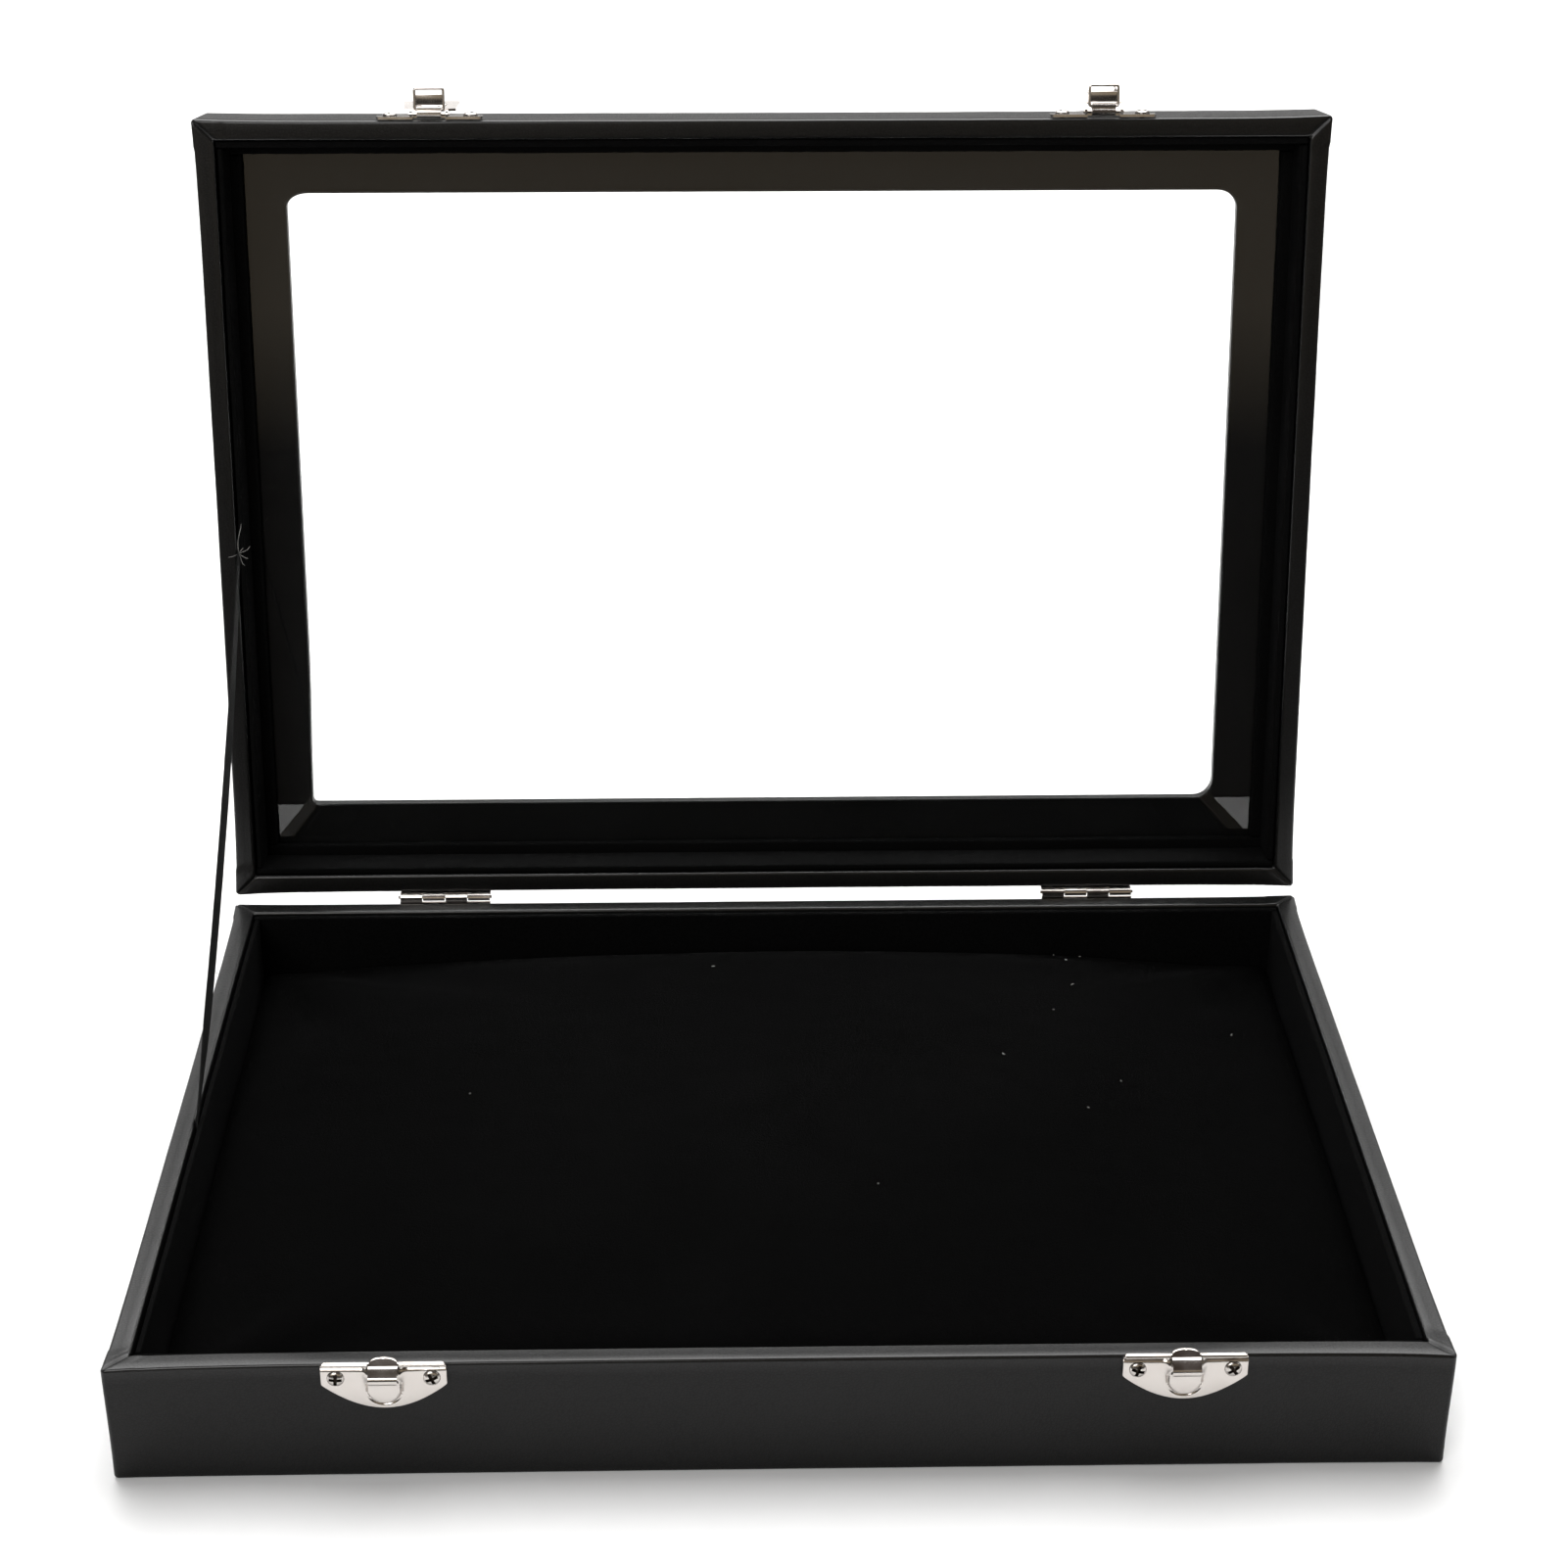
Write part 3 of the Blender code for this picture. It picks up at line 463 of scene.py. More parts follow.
def makeVelvet(name, look):
    material, tree, shader, place = newMaterial(name)
    pile = addNoise(
        tree, place, "Object", {"Scale": look["pile"], "Detail": 3.0, "Roughness": 0.7}
    )
    nap = addNoise(tree, place, "Object", {"Scale": look["nap"], "Detail": 4.0, "Distortion": 0.7})
    dust = useGroup(
        tree, dustGroup, place, {"Density": look["dust"], "Speck Scale": look["speckScale"]}
    )
    shade = mixColours(tree, nap, "Fac", look["dark"], look["light"])
    fibres = spanValues(tree, pile, "Fac", 0.55, 1.5, 0.3, 0.7)
    tinted = feed(tree, shade, "Result", "ShaderNodeVectorMath", 0, operation="SCALE")
    join(tree, fibres, "Result", tinted, "Scale")
    dusted = layColour(tree, tinted, "Vector", dust, "Mask", look["dustColour"])
    join(tree, dusted, "Result", shader, "Base Color")
    spanRoughness(tree, shader, nap, "Fac", 0.86, 1.0, 0.3, 0.7)
    raiseBump(tree, shader, pile, "Fac", look["bump"], look["depth"])
    setSockets(
        shader,
        {
            "Specular IOR Level": look["specular"],
            "Sheen Weight": look["sheen"],
            "Sheen Roughness": look["sheenRoughness"],
            "Sheen Tint": look["sheenTint"],
        },
    )
    return material


def makeNickel(name, look):
    material, tree, shader, place = newMaterial(name)
    scratches = useGroup(tree, scratchGroup, place, {"Scale": look["scratches"]})
    tint = mixColours(tree, scratches, "Haze", look["warm"], look["cool"])
    # painted shade: a dark colour laid over the metal where the mask marks a screw's cross and the
    # edge under its head
    if "paintedShade" in look:
        shadeMask = addNode(tree, "ShaderNodeAttribute", attribute_name="paintedShade")
        tint = layColour(tree, tint, "Result", shadeMask, "Fac", look["paintedShade"])
    join(tree, tint, "Result", shader, "Base Color")
    spanRoughness(tree, shader, scratches, "Haze", *look["roughness"], 0.3, 0.7)
    raiseBump(tree, shader, scratches, "Height", look["bump"], look["depth"])
    shader.inputs["Metallic"].default_value = 1.0
    return material


def makeGlass():
    material, tree, shader, place = newMaterial("clearGlass")
    haze = addNoise(tree, place, "Object", {"Scale": 22.0, "Detail": 3.0})
    spanRoughness(tree, shader, haze, "Fac", 0.0, 0.012, 0.45, 0.75)
    setSockets(
        shader,
        {
            "Base Color": (0.985, 0.995, 0.99, 1),
            "Transmission Weight": 1.0,
            "IOR": 1.0,
            "Coat Roughness": 0.0,
            "Coat IOR": 1.62,
        },
    )
    # one gloss where the ray meets the pane from outside
    side = tree.nodes.new("ShaderNodeNewGeometry")
    outside = spanValues(tree, side, "Backfacing", 1.0, 0.0)
    join(tree, outside, "Result", shader, "Coat Weight")
    # shadow rays pass straight through
    path = tree.nodes.new("ShaderNodeLightPath")
    clear = addNode(tree, "ShaderNodeBsdfTransparent", {"Color": (0.93, 0.95, 0.94, 1)})
    either = feed(tree, path, "Is Shadow Ray", "ShaderNodeMixShader", 0)
    join(tree, shader, 0, either, 1)
    join(tree, clear, 0, either, 2)
    join(tree, either, 0, tree.nodes["Material Output"], "Surface")
    return material


def makeRibbonWeave(name, look):
    material, tree, shader, place = newMaterial(name)
    weft, warp = (
        feed(
            tree,
            place,
            "UV",
            "ShaderNodeTexWave",
            "Vector",
            {"Scale": scale, "Distortion": distortion},
            bands_direction=direction,
        )
        for scale, distortion, direction in (look["weft"], look["warp"])
    )
    weave = feed(tree, weft, "Fac", "ShaderNodeMath", 0, operation="MULTIPLY")
    join(tree, warp, "Fac", weave, 1)
    tint = mixColours(tree, weave, "Value", look["dark"], look["light"])
    join(tree, tint, "Result", shader, "Base Color")
    spanRoughness(tree, shader, weave, "Value", *look["roughness"])
    raiseBump(tree, shader, weave, "Value", look["bump"], look["depth"])
    setSockets(shader, {"Specular IOR Level": look["specular"], "Sheen Weight": look["sheen"]})
    return material


# A plain finish in two tones that follow a noise.
def makePlain(name, dark, light, roughness, inputs):
    material, tree, shader, place = newMaterial(name)
    mottle = addNoise(tree, place, "Object", inputs)
    tint = mixColours(tree, mottle, "Fac", dark, light)
    join(tree, tint, "Result", shader, "Base Color")
    spanRoughness(tree, shader, mottle, "Fac", *roughness)
    return material


def makeTimber(name, dark, light, rings):
    material, tree, shader, place = newMaterial(name)
    along = {"Scale": (1.0, 1.0, 7.0)}
    stretch = feed(tree, place, "Object", "ShaderNodeMapping", "Vector", along)
    values = {"Scale": rings, "Distortion": 6.0, "Detail": 3.0}
    figure = feed(tree, stretch, "Vector", "ShaderNodeTexWave", "Vector", values)
    tint = mixColours(tree, figure, "Fac", dark, light)
    join(tree, tint, "Result", shader, "Base Color")
    spanRoughness(tree, shader, figure, "Fac", 0.6, 0.8)
    raiseBump(tree, shader, figure, "Fac", 0.3, 0.0001)
    return material


leatherLook = {
    "pebbles": 1050.0,
    "wander": 0.0005,
    "colour": (0.0046, 0.0046, 0.0044),
    "creaseColour": (0.0018, 0.0018, 0.0018),
    "creaseRoughness": -0.10,
    "dust": 0.10,
    "speckScale": 420.0,
    "dustColour": (0.10, 0.098, 0.094),
    "roughness": (0.50, 0.40),
    "bump": 0.34,
    "depth": 0.00010,
    "specular": 0.12,
    "coat": 0.21,
    "coatRoughness": 0.17,
    "polish": 4,
}
paperLook = {
    **leatherLook,
    "pebbles": 2400.0,
    "bump": 0.15,
    "roughness": (0.85, 0.75),
    "specular": 0.15,
    "coat": 0.0,
}
boardLook = {
    **leatherLook,
    "pebbles": 3000.0,
    "bump": 0.12,
    "roughness": (0.8, 0.7),
    "specular": 0.04,
    "coat": 0.0,
    "colour": (0.002, 0.0019, 0.0018),
}
padLook = {
    "pile": 1900.0,
    "nap": 17.0,
    "dark": (0.0004, 0.0004, 0.0004),
    "light": (0.0012, 0.0012, 0.0012),
    "dust": 0.05,
    "speckScale": 620.0,
    "dustColour": (0.22, 0.21, 0.2),
    "bump": 0.6,
    "depth": 0.0003,
    "specular": 0.02,
    "sheen": 0.0012,
    "sheenRoughness": 0.35,
    "sheenTint": (0.8, 0.8, 0.85, 1),
}
wallLook = {
    **padLook,
    "dark": (0.0016, 0.0016, 0.0016),
    "light": (0.0040, 0.0040, 0.0040),
    "dust": 0.03,
    "sheen": 0.004,
}
nickelLook = {
    "warm": (0.50, 0.463, 0.435),
    "cool": (0.66, 0.625, 0.595),
    "roughness": (0.13, 0.24),
    "scratches": 900.0,
    "bump": 0.12,
    "depth": 0.00005,
}
screwLook = {
    **nickelLook,
    "roughness": (0.16, 0.28),
    "scratches": 1500.0,
    # painted shade for the screws' crosses and the edges under their heads
    "paintedShade": (0.012, 0.009, 0.007),
}
ribbonLook = {
    # scale, distortion, direction
    "weft": (700.0, 0.6, "X"),
    "warp": (5.0, 0.2, "Y"),
    "dark": (0.0016, 0.0016, 0.0016),
    "light": (0.012, 0.0118, 0.0115),
    "roughness": (0.75, 0.5),
    "bump": 0.5,
    "depth": 0.00008,
    "specular": 0.12,
    "sheen": 0.02,
}
leatherette = makeLeatherette("leatherette", leatherLook)
underPaper = makeLeatherette("undersidePaper", paperLook)
blackBoard = makeLeatherette("blackBoard", boardLook)
padVelvet = makeVelvet("padVelvet", padLook)
wallVelvet = makeVelvet("wallVelvet", wallLook)
nickel = makeNickel("brightNickel", nickelLook)
screwNickel = makeNickel("screwNickel", screwLook)
clearGlass = makeGlass()
wovenRibbon = makeRibbonWeave("wovenRibbon", ribbonLook)
twist = {"Scale": 3000.0, "Detail": 2.0}
blackFibre = makePlain("blackFibre", (0.01, 0.01, 0.01), (0.04, 0.04, 0.04), (0.7, 0.95), twist)
# pale fibre colour: real lint on the pad, and a painted highlight on the lid's frayed threads
paleFibreAndHighlight = makePlain("paleFibreAndHighlight", (0.35, 0.34, 0.32), (0.7, 0.69, 0.66), (0.7, 0.95), twist)
plainTimber = makeTimber("plainTimber", (0.30, 0.19, 0.10), (0.52, 0.36, 0.21), 45.0)
greyCard = makeTimber("greyCard", (0.22, 0.20, 0.17), (0.28, 0.25, 0.21), 160.0)
tooth = {"Scale": 90.0, "Detail": 4.0}
floorPaper = makePlain(
    "floorPaper", (0.90, 0.90, 0.90), (0.93, 0.93, 0.93), (0.75, 0.85), tooth
)
floorPaper.node_tree.nodes["Principled BSDF"].inputs["Specular IOR Level"].default_value = 0.2
print("materials made")


# ---- leatherette wrapped round the base and the lid
wrap = {
    "outerRadius": 0.0014,  # plan radius of the case's upright corners
    "innerRadius": 0.0004,
    "rimRound": 0.0009,  # edges where the skin turns over
    "rimWidth": 0.006,
    "turnIn": 0.010,
    "turnUnder": 0.015,
    "flare": 0.0007,  # folded layers stand proud at the corners
    "flareReach": 0.010,
    "bow": 0.0002,
    "ripple": 0.00007,
    "frontSwell": 0.0009,  # the front rim is padded up between its corners
    "mitreDepth": 0.00030,
    "mitreWidth": 0.00045,
    "tab": 0.00022,  # edge of the skin folded round each corner
    "tabReach": 0.0092,
    "tabSlant": 0.06,  # the folded edge slants away from the rim
    "swellReach": 0.022,
    "swellDrop": 0.02,
    "overlap": 0.00016,
    "longest": 0.0035,
    "step": 0.0065,
    "arcSteps": 8,
}
# distances from a corner at which the skin has points
nearCorner = [0.0004, 0.0009, 0.0015, 0.0022, 0.003, 0.004, 0.0052, 0.0066, 0.008, 0.0088, 0.0092]
nearCorner += [0.0096, 0.0104, 0.012, 0.0145, 0.018, 0.023, 0.029]
cornerSigns = [(1, 1), (-1, 1), (-1, -1), (1, -1)]


def sideFractions(length):
    ends = [d / length for d in nearCorner]
    count = max(2, round((length - 2 * nearCorner[-1]) / wrap["step"]))
    middle = [ends[-1] + (1 - 2 * ends[-1]) * i / count for i in range(1, count)]
    return ends + middle + [1 - f for f in reversed(ends)]


# One closed ring at a given inset. radii holds (x, y) for each corner.
def ringAt(inset, z, radii):
    points, arcSteps = [], wrap["arcSteps"]
    ends = [
        (sx * (halfWidth - inset - rx), sy * (halfDepth - inset - ry))
        for (sx, sy), (rx, ry) in zip(cornerSigns, radii)
    ]
    for k in range(4):
        (cx, cy), (rx, ry) = ends[k], radii[k]
        start = 90 * k
        for j in range(arcSteps + 1):
            t = math.radians(start + 90 * j / arcSteps)
            points.append(Vector((cx + rx * math.cos(t), cy + ry * math.sin(t), z)))
        last = points[-1]
        (nx, ny), (nrx, nry) = ends[(k + 1) % 4], radii[(k + 1) % 4]
        t = math.radians(start + 90)
        following = Vector((nx + nrx * math.cos(t), ny + nry * math.sin(t), z))
        length = case["width"] if k in (0, 2) else case["depth"]
        points += [last.lerp(following, f) for f in sideFractions(length)]
    return points


# Rounds the bends of a path in the wall's section, then adds points along its long runs.
def roundPath(path):
    points = []
    for i, (u, z, radius) in enumerate(path):
        here = Vector((u, z))
        if not radius or i in (0, len(path) - 1):
            points.append(here)
            continue
        before = Vector(path[i - 1][:2]) - here
        after = Vector(path[i + 1][:2]) - here
        reach = min(radius, before.length * 0.48, after.length * 0.48)
        first, last = here + before.normalized() * reach, here + after.normalized() * reach
        for j in range(6):
            t = j / 5
            points.append(first * (1 - t) ** 2 + here * 2 * t * (1 - t) + last * t * t)
    dense = [points[0]]
    for point in points[1:]:
        gap = (point - dense[-1]).length
        count = max(1, math.ceil(gap / wrap["longest"]))
        start = dense[-1]
        dense += [start.lerp(point, j / count) for j in range(1, count + 1)]
    return dense


# How far the wrapped skin stands off its flat place at a point.
def settleSkin(point, inset, rimZ, rimUp, seed):
    x, y, z = point
    sx, sy = math.copysign(1, x), math.copysign(1, y)
    fromX, fromY = halfWidth - abs(x), halfDepth - abs(y)
    onX, onY = (1 - smoothStep(0.0005, wrap["rimWidth"], away) for away in (fromX, fromY))
    rimNear = 1 - smoothStep(0.0, 0.03, abs(z - rimZ))
    flare = wrap["flare"] * (0.45 + 0.55 * rimNear)
    reach = wrap["flareReach"]
    shift = nothing.copy()
    bowX = wrap["bow"] * (1 - (y / halfDepth) ** 2)
    bowY = wrap["bow"] * (1 - (x / halfWidth) ** 2)
    shift.x += sx * onX * (flare * math.exp(-fromY / reach) - bowX)
    shift.y += sy * onY * (flare * math.exp(-fromX / reach) - bowY)
    slant = wrap["tabReach"] - wrap["tabSlant"] * abs(z - rimZ)
    if fromX < 0.002:
        shift.x += sx * wrap["tab"] * (1 - smoothStep(slant - 0.0004, slant + 0.0002, fromY))
    if rimUp > 0 and y < 0 and fromY < 0.0075:
        swell = wrap["frontSwell"] * (1 - math.exp(-fromX / wrap["swellReach"]))
        shift.z += swell * smoothStep(rimZ - wrap["swellDrop"], rimZ, z)
    onRim = bell(abs(z - rimZ), 0.0012) if inset < 0.0062 else 0
    diagonal = abs(fromX - fromY) / math.sqrt(2)
    if onRim > 0.05 and max(fromX, fromY) < 0.009:
        groove = wrap["mitreDepth"] * bell(diagonal, wrap["mitreWidth"])
        overlap = wrap["overlap"] * smoothStep(-0.0004, 0.0002, (fromX - fromY) * sx * sy)
        shift.z += rimUp * onRim * (overlap - groove)
    wave = noise.noise(Vector((x, y, z)) * 48 + Vector((seed, 0, 0)))
    fine = noise.noise(Vector((x, y, z)) * 210 + Vector((0, seed, 0)))
    lift = wrap["ripple"] * (wave + 0.35 * fine)
    if fromX < 0.0012:
        shift.x += sx * lift
    elif fromY < 0.0012:
        shift.y += sy * lift
    else:
        shift.z += lift * (1 if z > rimZ - 0.012 else -1) * 0.8
    return shift


def sweepSkin(name, path, radiiAt, rimZ, rimUp, seed, lid, extra=None):
    rings = []
    for inset, z in path:
        ring = ringAt(inset, z, radiiAt(inset, z))
        moved = [p + settleSkin(p, inset, rimZ, rimUp, seed) for p in ring]
        if extra:
            moved = [p + extra(p, inset, z) for p in moved]
        rings.append(moved)
    count = len(rings[0])
    verts = [p for ring in rings for p in ring]
    faces = []
    for i in range(len(rings) - 1):
        for j in range(count):
            k = (j + 1) % count
            near, far = i * count, (i + 1) * count
            faces.append((near + j, near + k, far + k, far + j))
    skin = placeMesh(name, (verts, [], faces), leatherette, lid=lid)
    polish = skin.data.attributes.new("polish", "FLOAT", "POINT")
    for i, (inset, z) in enumerate(path):
        nearEdge = min(inset, abs(inset - wrap["rimWidth"]))
        shine = bell(nearEdge, 0.0008) * bell(abs(z - rimZ), 0.0009)
        for j in range(count):
            polish.data[i * count + j].value = shine
    return skin


def wallRadii(inset, z):
    radius = max(wrap["innerRadius"], wrap["outerRadius"] - inset)
    return [(radius, radius)] * 4


def makeBaseSkin():
    r = wrap["rimRound"]
    path = roundPath(
        [
            (wrap["turnUnder"], 0.0008, 0),
            (wrap["turnUnder"], 0.0001, 0.0004),
            (0.0, 0.0001, 0.0011),
            (0.0, baseTop, r),
            (wrap["rimWidth"], baseTop, r),
            (wrap["rimWidth"], baseTop - wrap["turnIn"], 0),
        ]
    )
    skin = sweepSkin("baseSkin", path, wallRadii, baseTop, 1, 3.0, False, extra=flatUnder)
    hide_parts("base_covering")
    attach(skin, "base")


# The turned-under edge stays flat on its board.
def flatUnder(point, inset, z):
    lowest = 0.0001
    under = z < 1.5 * lowest and point.z < lowest
    return Vector((0, 0, lowest - point.z)) if under else nothing


window = {
    "border": 0.0248,
    "edgeRound": 0.0011,
    "depth": 0.0044,
    # (x, y) radii of the opening's corners: rear right, rear left, front left, front right
    "corners": [(0.006, 0.0065), (0.0016, 0.0016), (0.0070, 0.0045), (0.0065, 0.006)],
    "leftSpread": 0.0011,
    "stretch": 0.00022,
    "boardOuter": 0.0012,
    "boardShow": 0.0007,  # how far the board shows inside the covering's edge
    "boardTop": 0.0010,
    "boardBottom": 0.0040,
}


def lidRadii(inset, z):
    start, end = wrap["outerRadius"], window["border"]
    if inset <= wrap["rimWidth"] and z < lidTop - 0.003:
        return wallRadii(inset, z)
    t = smoothStep(0.0, end, inset)
    base = max(wrap["innerRadius"], start - inset)
    return [(base + (rx - base) * t, base + (ry - base) * t) for rx, ry in window["corners"]]


# The skin is pulled round the opening: it spreads at one corner and puckers at the tight one.
def windowPull(point, inset, z):
    shift = nothing.copy()
    if inset < 0.012 or z < lidTop - 0.006:
        return shift
    near = smoothStep(0.012, window["border"], inset)
    side = halfWidth - window["border"]
    if point.x < -side + 0.012:
        toRear = smoothStep(0.045, halfDepth - window["border"], point.y)
        shift.x -= window["leftSpread"] * toRear * near
    corner = Vector((-side, halfDepth - window["border"]))
    away = Vector((point.x, point.y)) - corner
    fade = math.exp(-away.length / 0.009) * near
    angle = math.atan2(away.y, away.x)
    shift.z += window["stretch"] * fade * math.cos(angle * 13)
    return shift


def makeLidSkin():
    r = wrap["rimRound"]
    path = roundPath(
        [
            (wrap["rimWidth"], lidRim + wrap["turnIn"], 0),
            (wrap["rimWidth"], lidRim, r),
            (0.0, lidRim, r),
            (0.0, lidTop, 0.0012),
            (window["border"], lidTop, window["edgeRound"]),
            (window["border"], lidTop - window["depth"], 0.0003),
            (window["border"] - 0.0006, lidTop - window["depth"], 0),
        ]
    )
    skin = sweepSkin("lidSkin", path, lidRadii, lidRim, -1, 11.0, True, extra=windowPull)
    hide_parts("lid_covering")
    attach(skin, "lid")


# Black board behind the covering, which holds the glass's edges.
def makeWindowBoard():
    top, bottom = lidTop - window["boardTop"], lidTop - window["boardBottom"]
    outer, opening = window["boardOuter"], window["border"] - window["boardShow"]
    shape = bmesh.new()
    rings = []
    for inset, z in ((outer, top), (opening, top), (opening, bottom), (outer, bottom)):
        radii = lidRadii(inset, z) if inset == opening else wallRadii(inset, z)
        ring = []
        for point in ringAt(inset, z, radii):
            pull = windowPull(point, inset, z)
            ring.append(shape.verts.new(point + Vector((pull.x, pull.y, 0))))
        rings.append(ring)
    joinRings(shape, rings, closed=True)
    faceOutward(shape)
    board = placeMesh("windowBoard", shape, blackBoard, lid=True, smooth=False)
    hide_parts("lid_window_panel")
    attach(board, "lid")


# ---- velvet lining strips
lining = {
    "bevel": 0.0006,
    "step": 0.005,
    "wave": 0.00010,
    "drop": 0.001,
    "ribbonRoom": 0.0005,
    "endGap": 0.0003,
    "low": 0.0044,
    "ledgeWidth": 0.0035,
    "ledgeOverlap": 0.0005,
    "ledgeThick": 0.003,
    "ceilingDrop": 0.0069,
}


def softStrip(name, boxes, lid, seed):
    shape = bmesh.new()
    for low, high in boxes:
        low, high = Vector(low), Vector(high)
        size = high - low
        place = Matrix.Translation((low + high) / 2) @ Matrix.Diagonal((*size, 1))
        made = bmesh.ops.create_cube(shape, size=1, matrix=place)
        roundEdges(shape, made["verts"], min(lining["bevel"], min(size) * 0.3), 3)
    axis = 0 if size.x > size.y else 1
    lowest = min(v.co[axis] for v in shape.verts)
    highest = max(v.co[axis] for v in shape.verts)
    place = lowest + lining["step"]
    while place < highest - 0.002:
        sliceAt(shape, axis, place)
        place += lining["step"]
    across = 1 - axis
    for vertex in shape.verts:
        drift = noise.noise(Vector((vertex.co[axis] * 55, seed, vertex.co.z * 40)))
        vertex.co[across] += lining["wave"] * drift
        vertex.co.z += lining["wave"] * 1.4 * noise.noise(Vector((seed, vertex.co[axis] * 38, 2)))
    return placeMesh(name, shape, wallVelvet, lid=lid)


def sideSpans(outer, inner):
    w, d, gap = halfWidth, halfDepth, lining["endGap"]
    return {
        "front": ((-w + outer, -d + outer), (w - outer, -d + inner)),
        "rear": ((-w + outer, d - inner), (w - outer, d - outer)),
        "left": ((-w + outer, -d + inner + gap), (-w + inner, d - inner - gap)),
        "right": ((w - inner, -d + inner + gap), (w - outer, d - inner - gap)),
    }


def makeLinings():
    outer, inner = case["liningOuter"], case["liningInner"]
    ledge = sideSpans(inner - lining["ledgeOverlap"], inner + lining["ledgeWidth"])
    ceiling = lidTop - lining["ceilingDrop"]
    for seed, (side, (low, high)) in enumerate(sideSpans(outer, inner).items()):
        low, high = list(low), list(high)
        if side == "left":
            low[0] += lining["ribbonRoom"]
        baseBox = ((*low, lining["low"]), (*high, baseTop - lining["drop"]))
        strip = softStrip(f"baseLining_{side}", [baseBox], False, seed + 1.5)
        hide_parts(f"base_lining_{side}")
        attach(strip, "base")
        near, far = ledge[side]
        boxes = [
            ((*low, lidRim + lining["drop"]), (*high, ceiling)),
            ((*near, ceiling - lining["ledgeThick"]), (*far, ceiling)),
        ]
        strip = softStrip(f"lidLining_{side}", boxes, True, seed + 7.5)
        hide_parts(f"lid_lining_{side}")
        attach(strip, "lid")


# ---- crowned velvet pad, puffed up by a short cloth simulation
pad = {
    "halfX": 0.1689,
    "halfY": 0.1189,
    "bottom": 0.0067,
    "startInset": 0.0006,
    "startDrop": 0.0016,
    "edge": 0.0205,
    "riseAlong": 0.0060,
    "riseAcross": 0.0015,
    "rightSag": 0.0008,
    "voxel": 0.005,
    "pressure": 4.0,
    "mostMove": 0.0022,
    "edgeTuck": 0.0024,
    "tuckReach": 0.009,
    "heldHeight": 0.003,
    "frames": 20,
    # size, scale along the pad and offset of each unevenness of its top
    "unevenness": [(0.00030, 26, 4.0), (0.00012, 110, 9.0)],
}


def padHeight(x, y):
    u, v = x / pad["halfX"], y / pad["halfY"]
    rise = pad["riseAlong"] * (1 - u * u) + pad["riseAcross"] * (1 - v * v)
    return pad["edge"] + rise - pad["rightSag"] * smoothStep(0.2, 1, u)


# Cloth under pressure, held at its foot. No point moves farther than mostMove.
def puffUp(cushion):
    scene, last = bpy.context.scene, pad["frames"]
    before = [v.co.copy() for v in cushion.data.vertices]
    heldTop = pad["bottom"] + pad["heldHeight"]
    held = cushion.vertex_groups.new(name="held")
    held.add([v.index for v in cushion.data.vertices if v.co.z < heldTop], 1, "REPLACE")
    cloth = cushion.modifiers.new("stuffing", "CLOTH")
    cloth.settings.vertex_group_mass = "held"
    cloth.settings.use_pressure = True
    cloth.settings.uniform_pressure_force = pad["pressure"]
    cloth.settings.quality = 5
    cloth.settings.effector_weights.gravity = 0
    cloth.point_cache.frame_start = 1
    cloth.point_cache.frame_end = last
    for number in range(1, last + 1):
        scene.frame_set(number)
    puffed = evaluatedMesh(cushion, "padPuffed")
    cushion.modifiers.clear()
    cushion.vertex_groups.clear()
    cushion.data = puffed
    scene.frame_set(1)
    for vertex, start in zip(cushion.data.vertices, before):
        move = vertex.co - start
        if move.length > pad["mostMove"]:
            move *= pad["mostMove"] / move.length
        vertex.co = start + move


def makePad():
    shape = bmesh.new()
    bmesh.ops.create_grid(shape, x_segments=68, y_segments=48, size=1)
    halfX, halfY = pad["halfX"] - pad["startInset"], pad["halfY"] - pad["startInset"]
    for vertex in shape.verts:
        x, y = vertex.co.x * halfX, vertex.co.y * halfY
        edge = min(halfX - abs(x), halfY - abs(y))
        tuck = pad["edgeTuck"] * (1 - smoothStep(0, pad["tuckReach"], edge)) ** 2
        vertex.co = (x, y, padHeight(x, y) - pad["startDrop"] - tuck)
    for part in bmesh.ops.extrude_face_region(shape, geom=shape.faces[:])["geom"]:
        if isinstance(part, bmesh.types.BMVert):
            part.co.z = pad["bottom"]
    faceOutward(shape)
    cushion = placeMesh("padCushion", shape, padVelvet)
    remesh = cushion.modifiers.new("evenPoints", "REMESH")
    remesh.mode = "VOXEL"
    remesh.voxel_size = pad["voxel"]
    even = evaluatedMesh(cushion, "padEven")
    cushion.modifiers.clear()
    cushion.data = even
    puffUp(cushion)
    for vertex in cushion.data.vertices:
        co = vertex.co
        co.x = max(-pad["halfX"], min(pad["halfX"], co.x))
        co.y = max(-pad["halfY"], min(pad["halfY"], co.y))
        co.z = max(pad["bottom"], co.z)
    smooth = cushion.modifiers.new("settle", "SMOOTH")
    smooth.factor = 0.5
    smooth.iterations = 3
    finer = cushion.modifiers.new("finer", "SUBSURF")
    finer.levels = finer.render_levels = 1
    final = evaluatedMesh(cushion, "padCushion")
    cushion.modifiers.clear()
    cushion.data = final
    for vertex in cushion.data.vertices:
        co = vertex.co
        if co.z > 0.015:
            for size, scale, offset in pad["unevenness"]:
                co.z += size * noise.noise(Vector((co.x * scale, co.y * scale, offset)))
    # the stuffing pulls the sides in, so the edges are drawn back out to the walls
    for axis, reach in ((0, pad["halfX"]), (1, pad["halfY"])):
        least = min(v.co[axis] for v in cushion.data.vertices)
        most = max(v.co[axis] for v in cushion.data.vertices)
        for vertex in cushion.data.vertices:
            vertex.co[axis] *= reach / (most if vertex.co[axis] > 0 else -least)
    cushion.data.materials.clear()
    cushion.data.materials.append(padVelvet)
    cushion.data.shade_smooth()
    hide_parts("pad_cushion")
    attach(cushion, "base")
    return cushion


